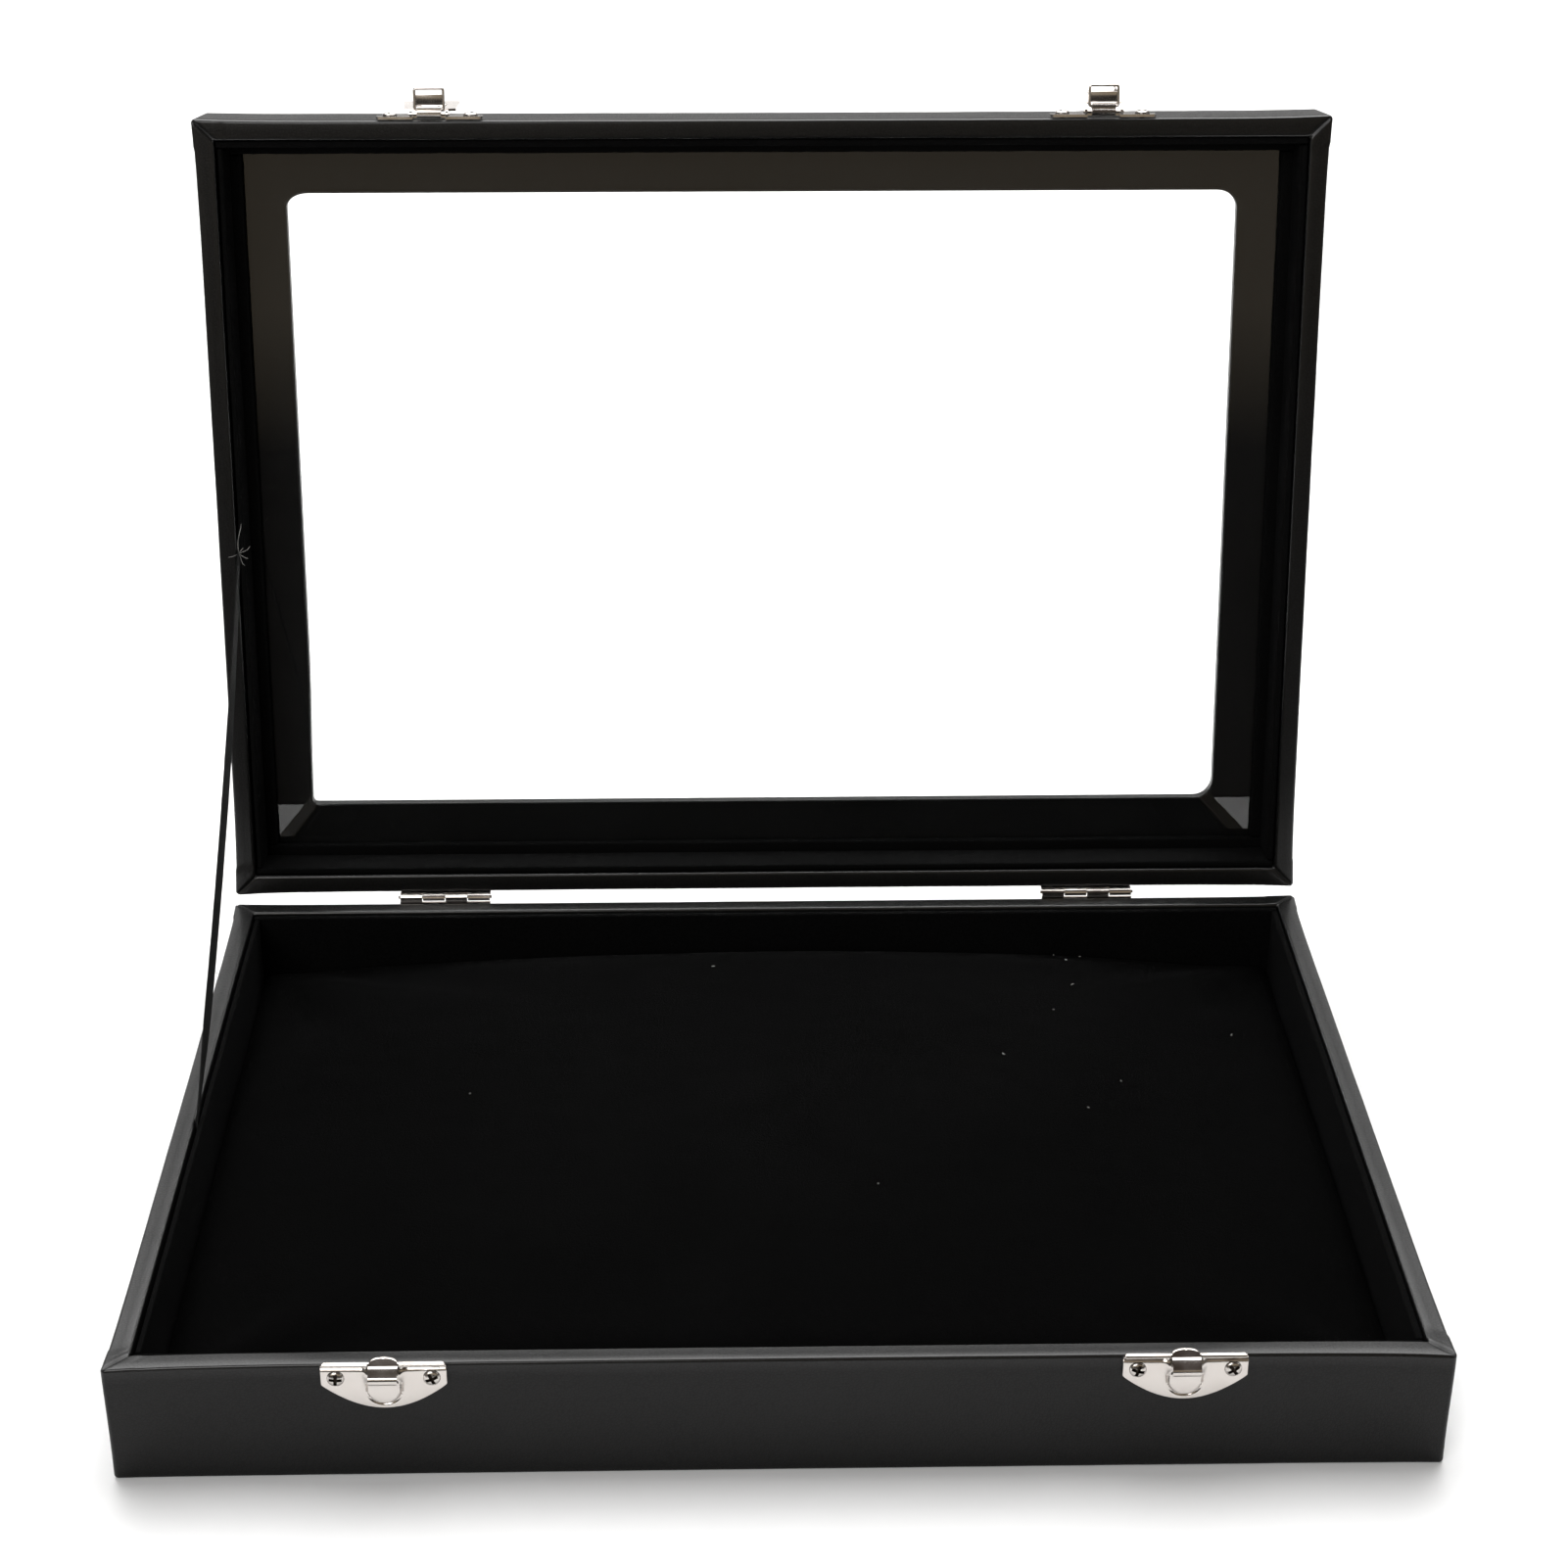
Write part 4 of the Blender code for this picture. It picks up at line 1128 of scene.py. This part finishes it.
# ---- catches
catch = {
    "x": {"left": -0.1043, "right": 0.1064},
    "plate": 0.0008,
    "halfWidth": 0.01655,
    "side": 0.0066,
    "length": 0.0141,
    "corner": 0.0012,
    "raise": 0.0017,
    "lidInset": 0.0004,
    "edgeRound": 0.00018,
    "tongueRadius": 0.0037,
    "tongueRise": 0.0026,
    "tongueLean": 0.0018,
    "beadRadius": 0.00055,
    "hookHalf": 0.0038,
    "hookMetal": 0.0005,
    "hookDrop": 0.0027,
    "hookOut": 0.0044,
    "bossRadius": 0.0047,
    "bossRise": 0.00055,
    "pivotOut": 0.0030,
    "pivotUp": 0.0013,
    "pinOut": 0.0019,
    "pinUp": 0.0013,
    "lift": {"left": 10, "right": 40},  # how far each lever stands open, in degrees
    "proud": 0.0003,  # plates stand this far off the wall
    "bossDrop": 0.0075,
    "lobePower": 0.88,
    "screwHalfSpan": 0.0126,
    "screwRise": 0.0045,
}


def arcPoints(cx, cy, radius, start, end, steps):
    turns = [math.radians(start + (end - start) * i / steps) for i in range(steps + 1)]
    return [(cx + radius * math.cos(t), cy + radius * math.sin(t)) for t in turns]


# A lobed lower edge, rounded upper corners, and a tongue above the straight top.
def plateOutline(top):
    half, corner, steps = catch["halfWidth"], catch["corner"], 48
    lobe = catch["length"] - catch["side"]
    points = []
    for step in range(steps + 1):
        across = -half + 2 * half * step / steps
        swell = max(0, math.cos(math.pi / 2 * across / half)) ** catch["lobePower"]
        points.append((across, top - catch["side"] - lobe * swell))

    def addCorner(centre, start, end):
        arc = arcPoints(centre, corner, corner, start, end, 5)
        points.extend((a, top - b) for a, b in arc)

    addCorner(half - corner, 0, -90)
    rise = (catch["tongueRise"] - catch["raise"]) / catch["tongueRadius"]
    points += [(a, top + b * rise) for a, b in arcPoints(0, 0, catch["tongueRadius"], 0, 180, 20)]
    addCorner(-half + corner, -90, -180)
    return points


# A stamped plate: outline filled, domed a little, with rounded edges. outer is its face's Y.
def stampedPlate(outline, x, outer, relief):
    rounding = catch["edgeRound"]
    mesh = outlineMesh(
        "plateCurve",
        [(across, up, 0) for across, up in outline],
        dimensions="2D",
        fill_mode="BOTH",
        extrude=catch["plate"] / 2 - rounding,
        bevel_depth=rounding,
        bevel_resolution=2,
        offset=-rounding,
    )
    shape = bmesh.new()
    shape.from_mesh(mesh)
    bmesh.ops.remove_doubles(shape, verts=shape.verts, dist=0.000001)
    big = [f for f in shape.faces if len(f.verts) >= 3 and abs(f.normal.z) > 0.9]
    bmesh.ops.triangulate(shape, faces=big)
    low = min(v.co.y for v in shape.verts)
    high = max(v.co.y for v in shape.verts)
    # cut fine enough to take the relief
    spans = ((0, 96, -catch["halfWidth"], catch["halfWidth"]), (1, 50, low, high))
    for axis, count, start, end in spans:
        for i in range(1, count):
            sliceAt(shape, axis, start + (end - start) * i / count)
    faceOutward(shape)
    upright = Matrix.Rotation(math.pi / 2, 4, "X")
    stand = Matrix.Translation((x, outer + catch["plate"] / 2, 0)) @ upright
    for vertex in shape.verts:
        vertex.co = stand @ vertex.co
        vertex.co.y -= relief(vertex.co.x - x, vertex.co.z)
    return shape


# A bent strip of metal: a path in Y and Z with a half width at each point.
def bentStrip(shape, x, path, thickness):
    count = 9
    centres = [Vector(point[:2]) for point in path]
    rings = []
    for i, (y, z, half) in enumerate(path):
        along = pathDirection(centres, i)
        out = Vector((-along.y, along.x)) * thickness / 2
        ring = []
        for side in (1, -1):
            row = []
            for j in range(count):
                across = half * (2 * j / (count - 1) - 1)
                row.append(shape.verts.new((x + across, y + side * out.x, z + side * out.y)))
            ring += row[::side]
        rings.append(ring)
    joinRings(shape, rings)


def roundBar(shape, start, end, radius):
    start, end = Vector(start), Vector(end)
    along = (end - start).normalized()
    turn = along.to_track_quat("Z", "Y").to_matrix().to_4x4()
    place = Matrix.Translation((start + end) / 2) @ turn
    bmesh.ops.create_cone(
        shape,
        cap_ends=True,
        segments=12,
        radius1=radius,
        radius2=radius,
        depth=(end - start).length,
        matrix=place,
    )


def makeStrike(side, x):
    top = baseTop + catch["raise"]
    outer = frontFace - catch["proud"] - catch["plate"]
    radius, bossZ = catch["bossRadius"], top - catch["bossDrop"]

    # how far the metal is pushed out at a point of the plate
    def relief(across, z):
        below, out = top - z, abs(across)
        away = math.hypot(across, (z - bossZ) * 0.95)
        boss = catch["bossRise"] * (1 - smoothStep(radius - 0.0005, radius, away))
        groove = -0.00034 * bell(away - radius - 0.0002, 0.00032)
        under = smoothStep(bossZ + 0.0035, bossZ + 0.0015, z)
        shoulder = 0.0007 * bell(below - 0.0032, 0.0021) * (1 - smoothStep(0.0042, 0.0062, out))
        lean = -catch["tongueLean"] * max(0, (0.0003 - below) / 0.0016)
        belly = 0.00035 * bell(below - 0.0085, 0.006) * bell(across, 0.012)
        rolled = -0.00048 * bell(below - 0.0015, 0.00040) * smoothStep(0.0042, 0.0055, out)
        return (boss + groove) * under + shoulder + lean + belly + rolled

    shape = stampedPlate(plateOutline(top), x, outer, relief)
    z0, out, half = baseTop + 0.0008, frontFace - catch["hookOut"], catch["hookHalf"]
    low = baseTop - catch["hookDrop"]
    # the hook slopes out, then drops to a lip that curls back in
    path = [(outer + 0.0004, z0 + 0.0001), (outer - 0.0006, z0 + 0.0001), (outer - 0.0009, z0)]
    path += [(outer - 0.0012, z0 - 0.00015), (out + 0.0003, baseTop - 0.0006)]
    path += [(out, baseTop - 0.0009), (out - 0.0001, baseTop - 0.0014), (out - 0.0001, low + 0.0006)]
    path += [(out + 0.00005, low + 0.0002), (out + 0.0003, low), (out + 0.0007, low - 0.0001)]
    path = [(y, z, half * (1 if z > low + 0.0004 else 0.96)) for y, z in path]
    bentStrip(shape, x, path, catch["hookMetal"])
    for sign in (-1, 1):
        inner, end = catch["tongueRadius"] + 0.0004, catch["halfWidth"] - 0.0006
        place = (outer + 0.0001, top - catch["beadRadius"])
        ends = [(x + sign * reach, *place) for reach in (inner, end)]
        roundBar(shape, *ends, catch["beadRadius"])
    plate = placeMesh(f"strikePlate_{side}", shape, nickel, sharpAngle=40)
    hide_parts(f"catch_{side}_strike")
    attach(plate, "base")


loopWire = {
    "radius": 0.00045,
    "half": 0.0045,
    "corner": 0.0007,
    "length": 0.0063,
    "slot": 0.0018,
    "web": 0.0004,
    "webTop": 0.0012,
    "webOut": 0.0004,
    "webLean": 7,
}


# The wire loop takes its place across the case from the node it stands for, and its tilt from the
# lever's lift.
def makeLoop(side):
    low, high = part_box(f"catch_{side}_loop")
    low, high = Vector(low), Vector(high)
    x = (low.x + high.x) / 2
    pinY, pinZ = frontFace - catch["pinOut"], lidRim + catch["pinUp"]
    reach = pinY - (frontFace - catch["pivotOut"])
    lift = Matrix.Rotation(math.radians(catch["lift"][side]), 4, "X")
    pivot = Matrix.Translation((0, pinY, pinZ)) @ lift @ Vector((0, -reach, catch["pivotUp"]))
    half, corner, length = loopWire["half"], loopWire["corner"], loopWire["length"]
    outline = []
    for sx, up, start in ((1, 0, 0), (-1, 0, 90), (-1, -length, 180), (1, -length, 270)):
        inward = -corner if up == 0 else corner
        outline += arcPoints(sx * (half - corner), up + inward, corner, start, start + 90, 6)
    mesh = outlineMesh(
        "loopCurve",
        [(across, 0, up) for across, up in outline],
        dimensions="3D",
        bevel_depth=loopWire["radius"],
        bevel_resolution=4,
    )
    # hangs straight out from the wall: a quarter turn from flat
    quarter = Matrix.Rotation(-math.pi / 2, 4, "X")
    hang = Matrix.Translation((x, pivot.y, pivot.z)) @ quarter
    mesh.transform(hang)
    shape = bmesh.new()
    shape.from_mesh(mesh)
    # a thin web fills the loop down to the slot that takes the hook
    foot, head = -length + loopWire["slot"], -loopWire["webTop"]
    size = Matrix.Diagonal((2 * half, loopWire["web"], head - foot, 1))
    middle = Matrix.Translation((0, -loopWire["webOut"], (foot + head) / 2))
    lean = middle @ Matrix.Rotation(math.radians(loopWire["webLean"]), 4, "X")
    web = bmesh.ops.create_cube(shape, size=1, matrix=hang @ lean @ size)
    roundEdges(shape, web["verts"], 0.0001, 2)
    loop = placeMesh(f"wireLoop_{side}", shape, nickel, lid=True, sharpAngle=50)
    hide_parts(f"catch_{side}_loop")
    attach(loop, f"loop_{side}")


# ---- screws, set out by geometry nodes
screw = {
    "head": 0.0023,
    "rise": 0.0010,
    "rim": 0.0001,
    "shank": 0.0008,
    "point": 0.001,
    "length": 0.0046,
    "cross": 0.0034,
    "slot": 0.00092,
    "slotDeep": 0.0016,
    "sides": 28,
    "sharp": 38,
    "seed": 7,
}
hinge = {"x": 0.108, "leaf": 0.0008, "screwHalfSpan": 0.009, "screwRise": 0.0055}


def screwTemplate():
    head, rim, rise = screw["head"], screw["rim"], screw["rise"]
    shank, length, sides = screw["shank"], screw["length"], screw["sides"]
    profile = [(0.0, rise)]
    for i in range(1, 9):
        t = math.radians(90 * i / 8)
        profile.append((head * math.sin(t), rim + (rise - rim) * math.cos(t)))
    profile += [(head, 0.0), (shank, 0.0), (shank, -length + screw["point"]), (0.0, -length)]
    verts, faces, rows = [], [], []
    for radius, z in profile:
        if radius == 0:
            rows.append([len(verts)] * sides)
            verts.append((0, 0, z))
            continue
        rows.append([len(verts) + j for j in range(sides)])
        for j in range(sides):
            t = 2 * math.pi * j / sides
            verts.append((radius * math.cos(t), radius * math.sin(t), z))
    for a, b in zip(rows, rows[1:]):
        for j in range(sides):
            k = (j + 1) % sides
            faces.append(list(dict.fromkeys((a[j], b[j], b[k], a[k]))))
    body = placeMesh("screwBody", (verts, [], faces), screwNickel)
    cutter = bmesh.new()
    size = Matrix.Diagonal((screw["cross"], screw["slot"], screw["slotDeep"], 1))
    for turn in (0, 90):
        place = Matrix.Rotation(math.radians(turn), 4, "Z") @ Matrix.Translation((0, 0, rise))
        bmesh.ops.create_cube(cutter, size=1, matrix=place @ size)
    crossCutter = placeMesh("screwCross", cutter, screwNickel, smooth=False)
    for piece in (body, crossCutter):
        piece.hide_render = True
    cut = body.modifiers.new("cross", "BOOLEAN")
    cut.operation = "DIFFERENCE"
    cut.use_self = True
    cut.object = crossCutter
    mesh = evaluatedMesh(body, "screwMesh")
    discard(crossCutter)
    body.modifiers.clear()
    body.data = mesh
    mesh.set_sharp_from_angle(angle=math.radians(screw["sharp"]))
    # painted shade: the colour is darkened in the cross and under the edge of the head, where shade
    # falls
    paintedShade = mesh.attributes.new("paintedShade", "FLOAT", "POINT")
    for item, vertex in zip(paintedShade.data, mesh.vertices):
        out, z = math.hypot(vertex.co.x, vertex.co.y), vertex.co.z
        dome = rim + (rise - rim) * math.sqrt(max(0, 1 - (out / head) ** 2))
        inCross = 0.00012 < z < dome - 0.00008 and out < screw["cross"] / 2 + 0.0002
        item.value = 1.0 if inCross else 0.75 if z < 0.00015 else 0.0
    return body


def screwTree():
    tree = bpy.data.node_groups.new("screwSet", "GeometryNodeTree")
    inputs = (("Geometry", "Geometry"), ("Screw", "Object"), ("Size", "Float"), ("Seed", "Int"))
    for label, kind in (*inputs, ("Metal", "Material")):
        tree.interface.new_socket(label, in_out="INPUT", socket_type="NodeSocket" + kind)
    tree.interface.new_socket("Geometry", in_out="OUTPUT", socket_type="NodeSocketGeometry")
    start, end = tree.nodes.new("NodeGroupInput"), tree.nodes.new("NodeGroupOutput")
    # each screw faces out of its plate and is turned about its own axis by chance
    facing = addNode(
        tree, "GeometryNodeInputNamedAttribute", {"Name": "facing"}, data_type="FLOAT_VECTOR"
    )
    fullTurn = {2: 0.0, 3: 6.28}
    spin = feed(
        tree, start, "Seed", "FunctionNodeRandomValue", "Seed", fullTurn, data_type="FLOAT"
    )
    turned = feed(tree, spin, 1, "ShaderNodeCombineXYZ", "Z")
    aim = feed(
        tree, facing, "Attribute", "FunctionNodeAlignRotationToVector", "Vector", axis="Z"
    )
    toRotation = feed(tree, turned, "Vector", "FunctionNodeEulerToRotation", "Euler")
    rotate = feed(
        tree, aim, "Rotation", "FunctionNodeRotateRotation", "Rotation", rotation_space="LOCAL"
    )
    join(tree, toRotation, "Rotation", rotate, "Rotate By")
    template = feed(
        tree, start, "Screw", "GeometryNodeObjectInfo", "Object", {"As Instance": True}
    )
    instances = feed(tree, start, "Geometry", "GeometryNodeInstanceOnPoints", "Points")
    join(tree, template, "Geometry", instances, "Instance")
    join(tree, rotate, "Rotation", instances, "Rotation")
    join(tree, start, "Size", instances, "Scale")
    solid = feed(tree, instances, "Instances", "GeometryNodeRealizeInstances", "Geometry")
    coat = feed(tree, solid, "Geometry", "GeometryNodeSetMaterial", "Geometry")
    join(tree, start, "Metal", coat, "Material")
    join(tree, coat, "Geometry", end, "Geometry")
    return tree


def setInputs(modifier, values):
    for item in modifier.node_group.interface.items_tree:
        if item.item_type == "SOCKET" and item.in_out == "INPUT" and item.name in values:
            modifier[item.identifier] = values[item.name]


def makeScrewSet(name, places, nodes, body, lid, template, tree):
    mesh = bpy.data.meshes.new(name)
    mesh.from_pydata([p for p, _ in places], [], [])
    facing = mesh.attributes.new("facing", "FLOAT_VECTOR", "POINT")
    for item, (_, direction) in zip(facing.data, places):
        item.vector = direction
    holder = addObject(name + "Points", mesh)
    modifier = holder.modifiers.new("screws", "NODES")
    modifier.node_group = tree
    values = {"Screw": template, "Size": 1.0, "Seed": screw["seed"], "Metal": screwNickel}
    setInputs(modifier, values)
    holder.update_tag()
    made = evaluatedMesh(holder, name)
    discard(holder)
    shape = bmesh.new()
    shape.from_mesh(made)
    piece = placeMesh(name, shape, screwNickel, lid=lid, sharpAngle=screw["sharp"])
    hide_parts(*nodes)
    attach(piece, body)


def makeScrews():
    template = screwTemplate()
    tree = screwTree()
    outer = frontFace - catch["proud"] - catch["plate"] - 0.00005
    rear = halfDepth + catch["proud"] + hinge["leaf"] + 0.0002
    for owner, sign, lid in (("base", -1, False), ("lid", 1, True)):
        places, nodes = [], []
        straight = baseTop + catch["raise"] if owner == "base" else lidRim + catch["lidInset"]
        catchZ = straight + sign * catch["screwRise"]
        hingeZ = hingeAxis.z + sign * (case["rimGap"] / 2 + hinge["screwRise"])
        for side, x in (("left", -1), ("right", 1)):
            for number, s in ((1, -1), (2, 1)):
                across = catch["x"][side] + s * catch["screwHalfSpan"]
                places.append(((across, outer, catchZ), (0, -1, 0)))
                label = "strike" if owner == "base" else "lid"
                nodes.append(f"catch_{side}_{label}_screw_{number}")
                across = x * hinge["x"] + s * hinge["screwHalfSpan"]
                places.append(((across, rear, hingeZ), (0, 1, 0)))
                nodes.append(f"hinge_{side}_{owner}_screw_{number}")
        makeScrewSet(f"{owner}Screws", places, nodes, owner, lid, template, tree)
    discard(template)


# ---- ribbon stay
stay = {
    "x": -0.1710,
    "baseY": -0.0080,
    "lidY": 0.0105,
    "tuck": 0.0060,
    "width": 0.0026,
    "thickness": 0.00036,
    "bow": 0.0016,
    "lift": 0.0009,
    "rimClear": 0.0004,
    "twist": -40,
    "waver": 0.05,  # how much the width varies
    "across": 5,
    "steps": 150,
    "tuckSteps": 12,
    "smoothings": 3,
}


def stayPath():
    x, baseY, lidY = stay["x"], stay["baseY"], stay["lidY"]
    foot = Vector((x, baseY, baseTop - lining["drop"] - stay["tuck"]))
    lower = Vector((x, baseY, baseTop - stay["rimClear"]))
    upper = lidTurn @ Vector((x, lidY, lidRim + stay["rimClear"]))
    head = lidTurn @ Vector((x, lidY, lidRim + lining["drop"] + stay["tuck"]))
    run, tucked = stay["steps"], stay["tuckSteps"]
    points = [foot.lerp(lower, i / tucked) for i in range(tucked)]
    for i in range(run + 1):
        t = i / run
        point = lower.lerp(upper, t)
        point.x += stay["bow"] * math.sin(math.pi * t) ** 0.8
        point.z += stay["lift"] * math.sin(math.pi * t)
        points.append(point)
    points += [upper.lerp(head, i / tucked) for i in range(1, tucked + 1)]
    for _ in range(stay["smoothings"]):
        inner = range(1, len(points) - 1)
        eased = [(points[i - 1] + points[i] * 2 + points[i + 1]) / 4 for i in inner]
        points = [points[0], *eased, points[-1]]
    return points, lower, upper


def makeStay():
    points, lower, upper = stayPath()
    shape = bmesh.new()
    uv = shape.loops.layers.uv.new("weave")
    across = stay["across"]
    rows, lengths = [], [0.0]
    for a, b in zip(points, points[1:]):
        lengths.append(lengths[-1] + (b - a).length)
    total = lengths[-1]
    for i, point in enumerate(points):
        along = pathDirection(points, i)
        side = along.cross(Vector((1, 0, 0))).normalized()
        t = lengths[i] / total
        free = smoothStep(0.04, 0.22, t) * (1 - 0.75 * smoothStep(0.55, 0.96, t))
        turn = Matrix.Rotation(math.radians(stay["twist"]) * free, 3, along)
        side = turn @ side
        face = side.cross(along).normalized() * stay["thickness"] / 2
        width = stay["width"] * (1 + stay["waver"] * noise.noise(Vector((t * 40, 0, 0))))
        line = [point + side * width * (j / (across - 1) - 0.5) for j in range(across)]
        row = [p + face for p in line] + [p - face for p in reversed(line)]
        rows.append([shape.verts.new(p) for p in row])
    total = len(rows[0])
    for i, (a, b) in enumerate(zip(rows, rows[1:])):
        for j in range(total):
            k = (j + 1) % total
            face = shape.faces.new((a[j], a[k], b[k], b[j]))
            corners = ((i, j), (i, j + 1), (i + 1, j + 1), (i + 1, j))
            for loop, (row, column) in zip(face.loops, corners):
                place = column if column < across else total - column
                loop[uv].uv = (lengths[row], place / across)
    shape.faces.new(rows[0][::-1])
    shape.faces.new(rows[-1])
    faceOutward(shape)
    ribbon = placeMesh("stayRibbon", shape, wovenRibbon, sharpAngle=50)
    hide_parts("stay_ribbon")
    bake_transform(ribbon)
    print("stay length, mm:", round(1000 * lengths[-1], 1))
    return lower, upper


# Fine fibres as thin bent tubes, all in one mesh.
def fibreMesh(name, fibres, material):
    shape, sides = bmesh.new(), 5
    for points, radius in fibres:
        rings = []
        for i, point in enumerate(points):
            along = pathDirection(points, i)
            helper = Vector((0, 0, 1)) if abs(along.z) < 0.9 else Vector((1, 0, 0))
            first = along.cross(helper).normalized()
            second = along.cross(first)
            thin = radius * (1 if 0 < i < len(points) - 1 else 0.45)
            ring = []
            for j in range(sides):
                t = 2 * math.pi * j / sides
                around = first * math.cos(t) + second * math.sin(t)
                ring.append(shape.verts.new(point + around * thin))
            rings.append(ring)
        joinRings(shape, rings)
    faceOutward(shape)
    return placeMesh(name, shape, material)


fray = {
    "lid": [
        ((0.9, -0.5, 0.6), 0.0062),
        ((-0.8, -0.6, -0.2), 0.0036),
        ((0.5, -0.4, -1.0), 0.0045),
        ((0.7, -0.9, 1.0), 0.0038),
        ((0.1, -0.2, 1.0), 0.0105),
        ((0.8, -0.6, -0.3), 0.0040),
    ],
    "base": [((0.4, -0.8, 0.9), 0.0026), ((-0.5, 0.4, 1.0), 0.0021)],
    "radius": 0.00005,
    "curl": 0.28,
}


def makeFrays(lower, upper):
    for body, start in (("lid", upper), ("base", lower)):
        fibres = []
        for number, (direction, length) in enumerate(fray[body]):
            heading = Vector(direction).normalized()
            points = []
            for i in range(9):
                t = i / 8
                curl = Vector(
                    (0.3 * math.sin(t * 4 + number), 0.25 * math.cos(t * 5), 0.3 * t * t)
                )
                points.append(start + (heading * t + curl * t * fray["curl"]) * length)
            fibres.append((points, fray["radius"]))
        # painted highlight: the lid's frayed threads are made pale to stand for the white glints
        # along them, while the base's threads stay black
        fibre = paleFibreAndHighlight if body == "lid" else blackFibre
        piece = fibreMesh(f"frayedThreads_{body}", fibres, fibre)
        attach(piece, body)


# Lint on the pad, and one loose thread hanging over the left rim.
lint = {
    # x, y and length
    "places": [
        (-0.018, 0.097, 0.0011),
        (0.0729, 0.041, 0.0012),
        (0.0961, 0.1151, 0.0011),
        (0.0995, 0.0877, 0.0012),
        (0.0995, 0.1075, 0.0007),
        (0.0962, 0.0103, 0.001),
        (0.1476, 0.0588, 0.001),
        (0.1049, 0.1138, 0.0007),
        (0.0915, 0.0697, 0.0007),
        (0.1082, 0.0264, 0.0006),
        (0.03, -0.0328, 0.0006),
        (-0.0925, 0.0209, 0.0006),
    ],
    "radius": 0.00011,
    "threadRadius": 0.00007,
    "looseThread": [
        (-0.1752, 0.078, 0.0362),
        (-0.1778, 0.080, 0.0366),
        (-0.1792, 0.083, 0.0352),
        (-0.1797, 0.087, 0.0330),
        (-0.1788, 0.091, 0.0315),
    ],
}


def makeLint(cushion):
    fibres = []
    for number, (x, y, length) in enumerate(lint["places"]):
        found, point, normal, _ = cushion.ray_cast(Vector((x, y, 0.1)), Vector((0, 0, -1)))
        if not found:
            continue
        heading = Vector((math.cos(number * 2.3), math.sin(number * 2.3), 0.1))
        points = []
        for i in range(5):
            t = i / 4 - 0.5
            curl = Vector((-heading.y, heading.x, 0)) * 0.35 * math.cos(t * 4)
            points.append(point + normal * 0.00018 + (heading * t + curl * 0.5) * length)
        fibres.append((points, lint["radius"]))
    specks = fibreMesh("padLint", fibres, paleFibreAndHighlight)
    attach(specks, "base")
    path = [Vector(p) for p in lint["looseThread"]]
    thread = fibreMesh("looseThread", [(path, lint["threadRadius"])], blackFibre)
    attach(thread, "base")


# ---- CAD pieces that keep their shape
cadFinish = {"softEdge": 0.00012, "sharp": 40}


def finishCadPieces():
    for name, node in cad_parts.items():
        if node.hide_render:
            continue
        if name.endswith("_wall") or name == "base_bottom_board":
            material = plainTimber
        elif name == "pad_board":
            material = greyCard
        elif name == "glass_pane":
            material = clearGlass
        elif name == "base_bottom_sheet":
            material = underPaper
        elif name.startswith(("catch", "hinge")):
            material = nickel
        else:
            continue
        if not node.material_slots:
            node.data.materials.append(material)
        for slot in node.material_slots:
            slot.material = material
        if material is nickel and not name.endswith("_pin"):
            soften = node.modifiers.new("softEdges", "BEVEL")
            soften.width = cadFinish["softEdge"]
            soften.segments = 2
            soften.limit_method = "ANGLE"
            soften.angle_limit = math.radians(cadFinish["sharp"])


def makeFloor():
    shape = bmesh.new()
    bmesh.ops.create_grid(shape, x_segments=4, y_segments=4, size=studio["floorSize"])
    floor = placeMesh("studioFloor", shape, floorPaper)


bpy.context.scene.view_settings.view_transform = "Standard"
makeCamera()
makeLight()
makeFloor()
makePaintedReflectionRoom()
print("camera, light and floor ready")
makeBaseSkin()
makeLidSkin()
makeWindowBoard()
print("leatherette wrapped")
makeLinings()
print("linings in")
padPiece = makePad()
print("pad stuffed")
for side, x in catch["x"].items():
    makeStrike(side, x)
    makeLoop(side)
makeScrews()
print("catches and screws on")
stayLow, stayHigh = makeStay()
makeFrays(stayLow, stayHigh)
makeLint(padPiece)
finishCadPieces()
print("ribbon, lint and carried pieces done")
